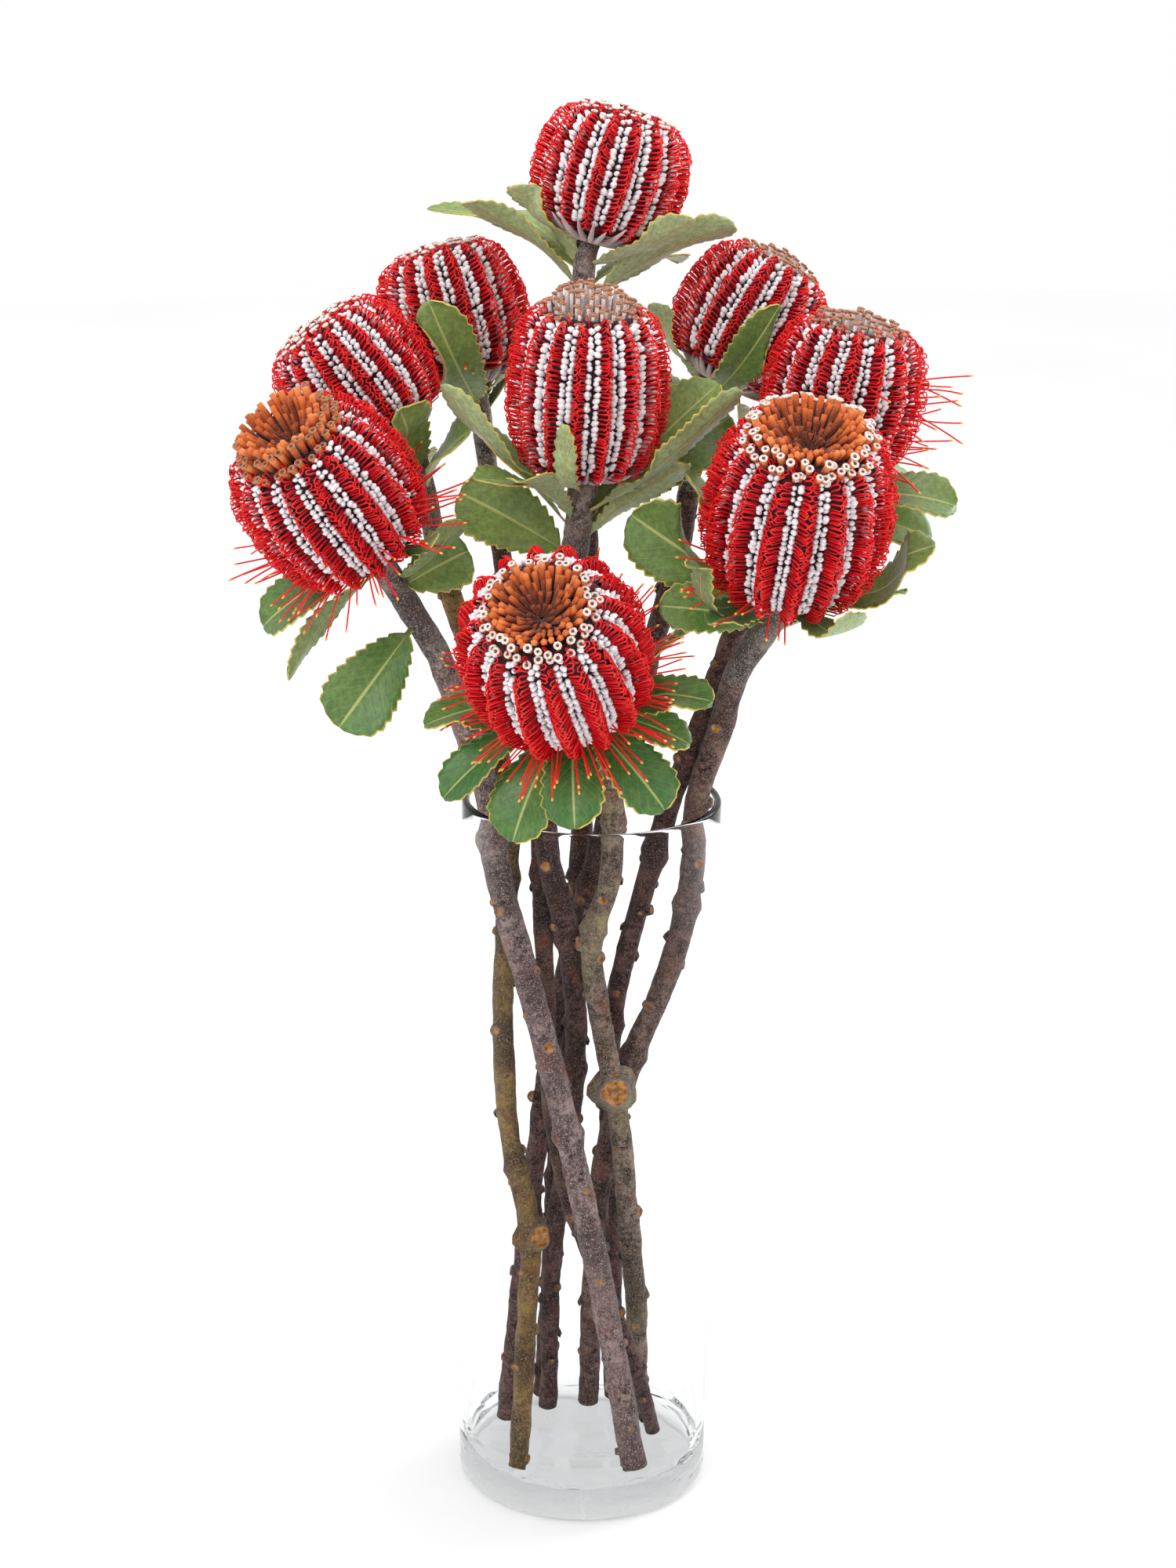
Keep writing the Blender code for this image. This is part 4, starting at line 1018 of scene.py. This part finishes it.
def bark_look(name, low, high, moss, mossy):
    """Bark with a fine felt of pale hairs, blotches of moss, rust and plum, and tan scars."""
    made = Nodes(name)
    felt = made.noise(1500.0, 2.0)
    fine = made.times(made.noise(430.0, 6.0, 0.7), 0.55)
    both = made.plus(fine, made.noise(110.0, 5.0, 0.65), 0.45)
    half = tuple(0.35 * a + 0.65 * b for a, b in zip(low, high))
    dark = tuple(0.55 * c for c in low)
    wood = made.ramp(both, [(0.41, dark), (0.5, half), (0.59, tuple(1.7 * c for c in high))])
    patch = made.step(made.noise(30.0, 2.0), 0.62 - 0.3 * mossy, 0.72 - 0.2 * mossy, 0.85)
    wood = made.mix(patch, wood, made.mix(made.step(both, 0.42, 0.6), half, moss))
    wood = made.mix(made.step(made.noise(70.0, 3.0), 0.56, 0.68, 0.55), wood, (0.2, 0.052, 0.028))
    plum = tuple(0.9 * c + 0.004 for c in low)
    wood = made.mix(made.step(made.noise(26.0, 3.0), 0.46, 0.6, 0.7), wood, plum)
    pale = tuple(min(1.0, 2.2 * c + 0.06) for c in high)
    wood = made.mix(made.step(felt, 0.54, 0.68, 0.8), wood, pale)
    wood = made.mix(made.step(made.shade(), 0.36, 0.5, 0.6), wood, tuple(0.8 * c + 0.16 for c in high))
    tan = made.ramp(made.noise(380.0, 3.0), [(0.35, (0.2, 0.06, 0.015)), (0.65, (0.66, 0.31, 0.09))])
    wood = made.mix(made.step(made.shade(), 0.6, 0.85), wood, tan)
    relief = made.bump(made.plus(both, felt, 0.3), 0.9, 0.0014)
    sheen = {"Sheen_Weight": 0.15, "Sheen_Roughness": 0.4}
    return made.finish(wood, 0.85, relief, Specular_IOR_Level=0.25, **sheen)


def leaf_look(name, olive, green, vein, edge, bumpiness):
    """A leaf's side: a midrib, side veins that run up to the edge, and a narrow yellow edge."""
    made = Nodes(name)
    spot = made.add("ShaderNodeUVMap")
    spot.uv_map = "UVMap"
    parts = made.add("ShaderNodeSeparateXYZ", Vector=spot.outputs["UV"])
    along, across = parts.outputs["X"], parts.outputs["Y"]
    side = made.math("ABSOLUTE", made.math("SUBTRACT", across, 0.5))
    slanted = made.math("SUBTRACT", made.times(along, 11.0), made.times(side, 6.0))
    ridge = made.math("PINGPONG", made.plus(slanted, made.noise(90.0), 0.6), 0.5)
    veins = made.ramp(ridge, [(0.0, (1, 1, 1)), (0.06, (0, 0, 0))])
    rib = made.ramp(side, [(0.012, (1, 1, 1)), (0.03, (0, 0, 0))])
    border = made.step(side, 0.47, 0.488)
    tone = made.plus(made.shade(), made.math("SUBTRACT", made.noise(60.0, 5.0, 0.6), 0.5), 0.9)
    colour = made.mix(tone, olive, green)
    speck = made.ramp(made.noise(420.0, 4.0, 0.7), [(0.4, (0.6, 0.6, 0.6)), (0.62, (1.25, 1.25, 1.25))])
    colour = made.mix(0.65, colour, speck, "MULTIPLY")
    colour = made.mix(made.times(veins, 0.22), colour, vein)
    colour = made.mix(made.times(rib, 0.75), colour, vein)
    colour = made.mix(made.times(border, 0.8), colour, edge)
    height = made.plus(made.times(veins, -0.5), made.noise(900.0, 3.0), 0.25)
    relief = made.bump(made.math("SUBTRACT", height, rib), bumpiness, 0.0006)
    return made.finish(colour, 0.42, relief, Sheen_Weight=0.1)


def glass_look():
    """Clear glass with a faint blue in its depth, and a foot that is not quite smooth."""
    made = Nodes("vase_glass")
    tint = made.ramp(made.noise(8.0), [(0.3, (0.985, 0.99, 0.99)), (0.7, (1.0, 1.0, 1.0))])
    split = made.add("ShaderNodeSeparateXYZ", Vector=made.place())
    low = made.add("ShaderNodeMapRange", Value=split.outputs["Z"], From_Min=30 * MM, From_Max=18 * MM)
    flat = made.add("ShaderNodeMapping", Vector=made.place(), Scale=(1.0, 1.0, 3.5))
    height = made.times(made.noise(38.0, 1.0, 0.5, flat.outputs["Vector"]), low.outputs["Result"])
    inside = made.add("ShaderNodeVolumeAbsorption", Color=GLASS_DEPTH, Density=GLASS_DENSITY)
    made.feed(made.tree.nodes["Material Output"].inputs["Volume"], inside.outputs["Volume"])
    relief = made.bump(height, 1.0, 0.006)
    return made.finish(tint, 0.0, relief, Transmission_Weight=1.0, IOR=GLASS_IOR, Specular_Tint=GLASS_SHINE)


def studio():
    """A white floor under an even white light, with soft lamps round the bouquet."""
    world = bpy.data.worlds.new("studio")
    world.use_nodes = True
    world.node_tree.nodes["Background"].inputs["Color"].default_value = (1, 1, 1, 1)
    bpy.context.scene.world = world
    bpy.context.scene.view_settings.view_transform = "Standard"
    mesh = bpy.data.meshes.new("floor")
    corners = [(x * FLOOR_HALF, y * FLOOR_HALF, 0) for x, y in ((-1, -1), (1, -1), (1, 1), (-1, 1))]
    mesh.from_pydata(corners, [], [(0, 1, 2, 3)])
    values = {"Specular_IOR_Level": 0.1, "Emission_Color": (1, 1, 1, 1), "Emission_Strength": FLOOR_GLOW}
    mesh.materials.append(two_tone("floor", 2.0, (0.6,) * 3, (0.63,) * 3, 0.9, **values))
    floor = put("floor", mesh)
    for name, place, size, power in LAMPS:
        light = bpy.data.lights.new(name, "AREA")
        light.size = size
        light.energy = power
        lamp = put(name, light)
        lamp.location = place
        aim = Vector(LAMP_TARGET) - Vector(place)
        lamp.rotation_euler = aim.to_track_quat("-Z", "Y").to_euler()


def camera():
    data = bpy.data.cameras.new("camera")
    data.lens = CAMERA_LENS
    data.shift_x = CAMERA_SHIFT
    made = put("camera", data)
    turn = Matrix.Rotation(math.pi / 2 - CAMERA_PITCH, 4, "X") @ Matrix.Rotation(CAMERA_ROLL, 4, "Z")
    made.matrix_world = Matrix.Translation(CAMERA_PLACE) @ turn
    bpy.context.scene.camera = made


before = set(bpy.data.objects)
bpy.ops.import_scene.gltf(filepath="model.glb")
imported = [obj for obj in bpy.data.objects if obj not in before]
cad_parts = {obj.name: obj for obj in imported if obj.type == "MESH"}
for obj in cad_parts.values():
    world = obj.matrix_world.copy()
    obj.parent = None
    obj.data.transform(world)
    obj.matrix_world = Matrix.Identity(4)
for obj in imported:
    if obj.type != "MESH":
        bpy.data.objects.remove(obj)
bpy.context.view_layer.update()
camera()
studio()
LOOKS = {
    "wool": wool_look(),
    "style": style_look(),
    "gold": two_tone("style_tip", 600.0, (0.75, 0.28, 0.03), (0.95, 0.55, 0.12), 0.5),
    "crown": crown_look(),
    "tip": tip_look("crown_tip", (0.62, 0.42, 0.32), (0.95, 0.9, 0.86)),
    "brown_tip": tip_look("crown_brown_tip", (0.22, 0.055, 0.02), (0.56, 0.23, 0.1)),
    "stalk": tip_look("crown_stalk", (0.56, 0.34, 0.3), (0.92, 0.84, 0.8)),
    "hole": two_tone("crown_hole", 900.0, (0.045, 0.014, 0.006), (0.2, 0.075, 0.03), 0.8),
    "bract": bract_look(),
    "glass": glass_look(),
}
LOOKS |= {name: bark_look(name, *colours) for name, colours in BARK_COLOURS.items()}
LOOKS |= {name: leaf_look(name, *colours) for name, colours in LEAF_COLOURS.items()}
vase()
for number, flower in enumerate(FLOWERS, 1):
    for build in (stem, leaves, wool, bracts, loops, crown):
        build(flower, number)
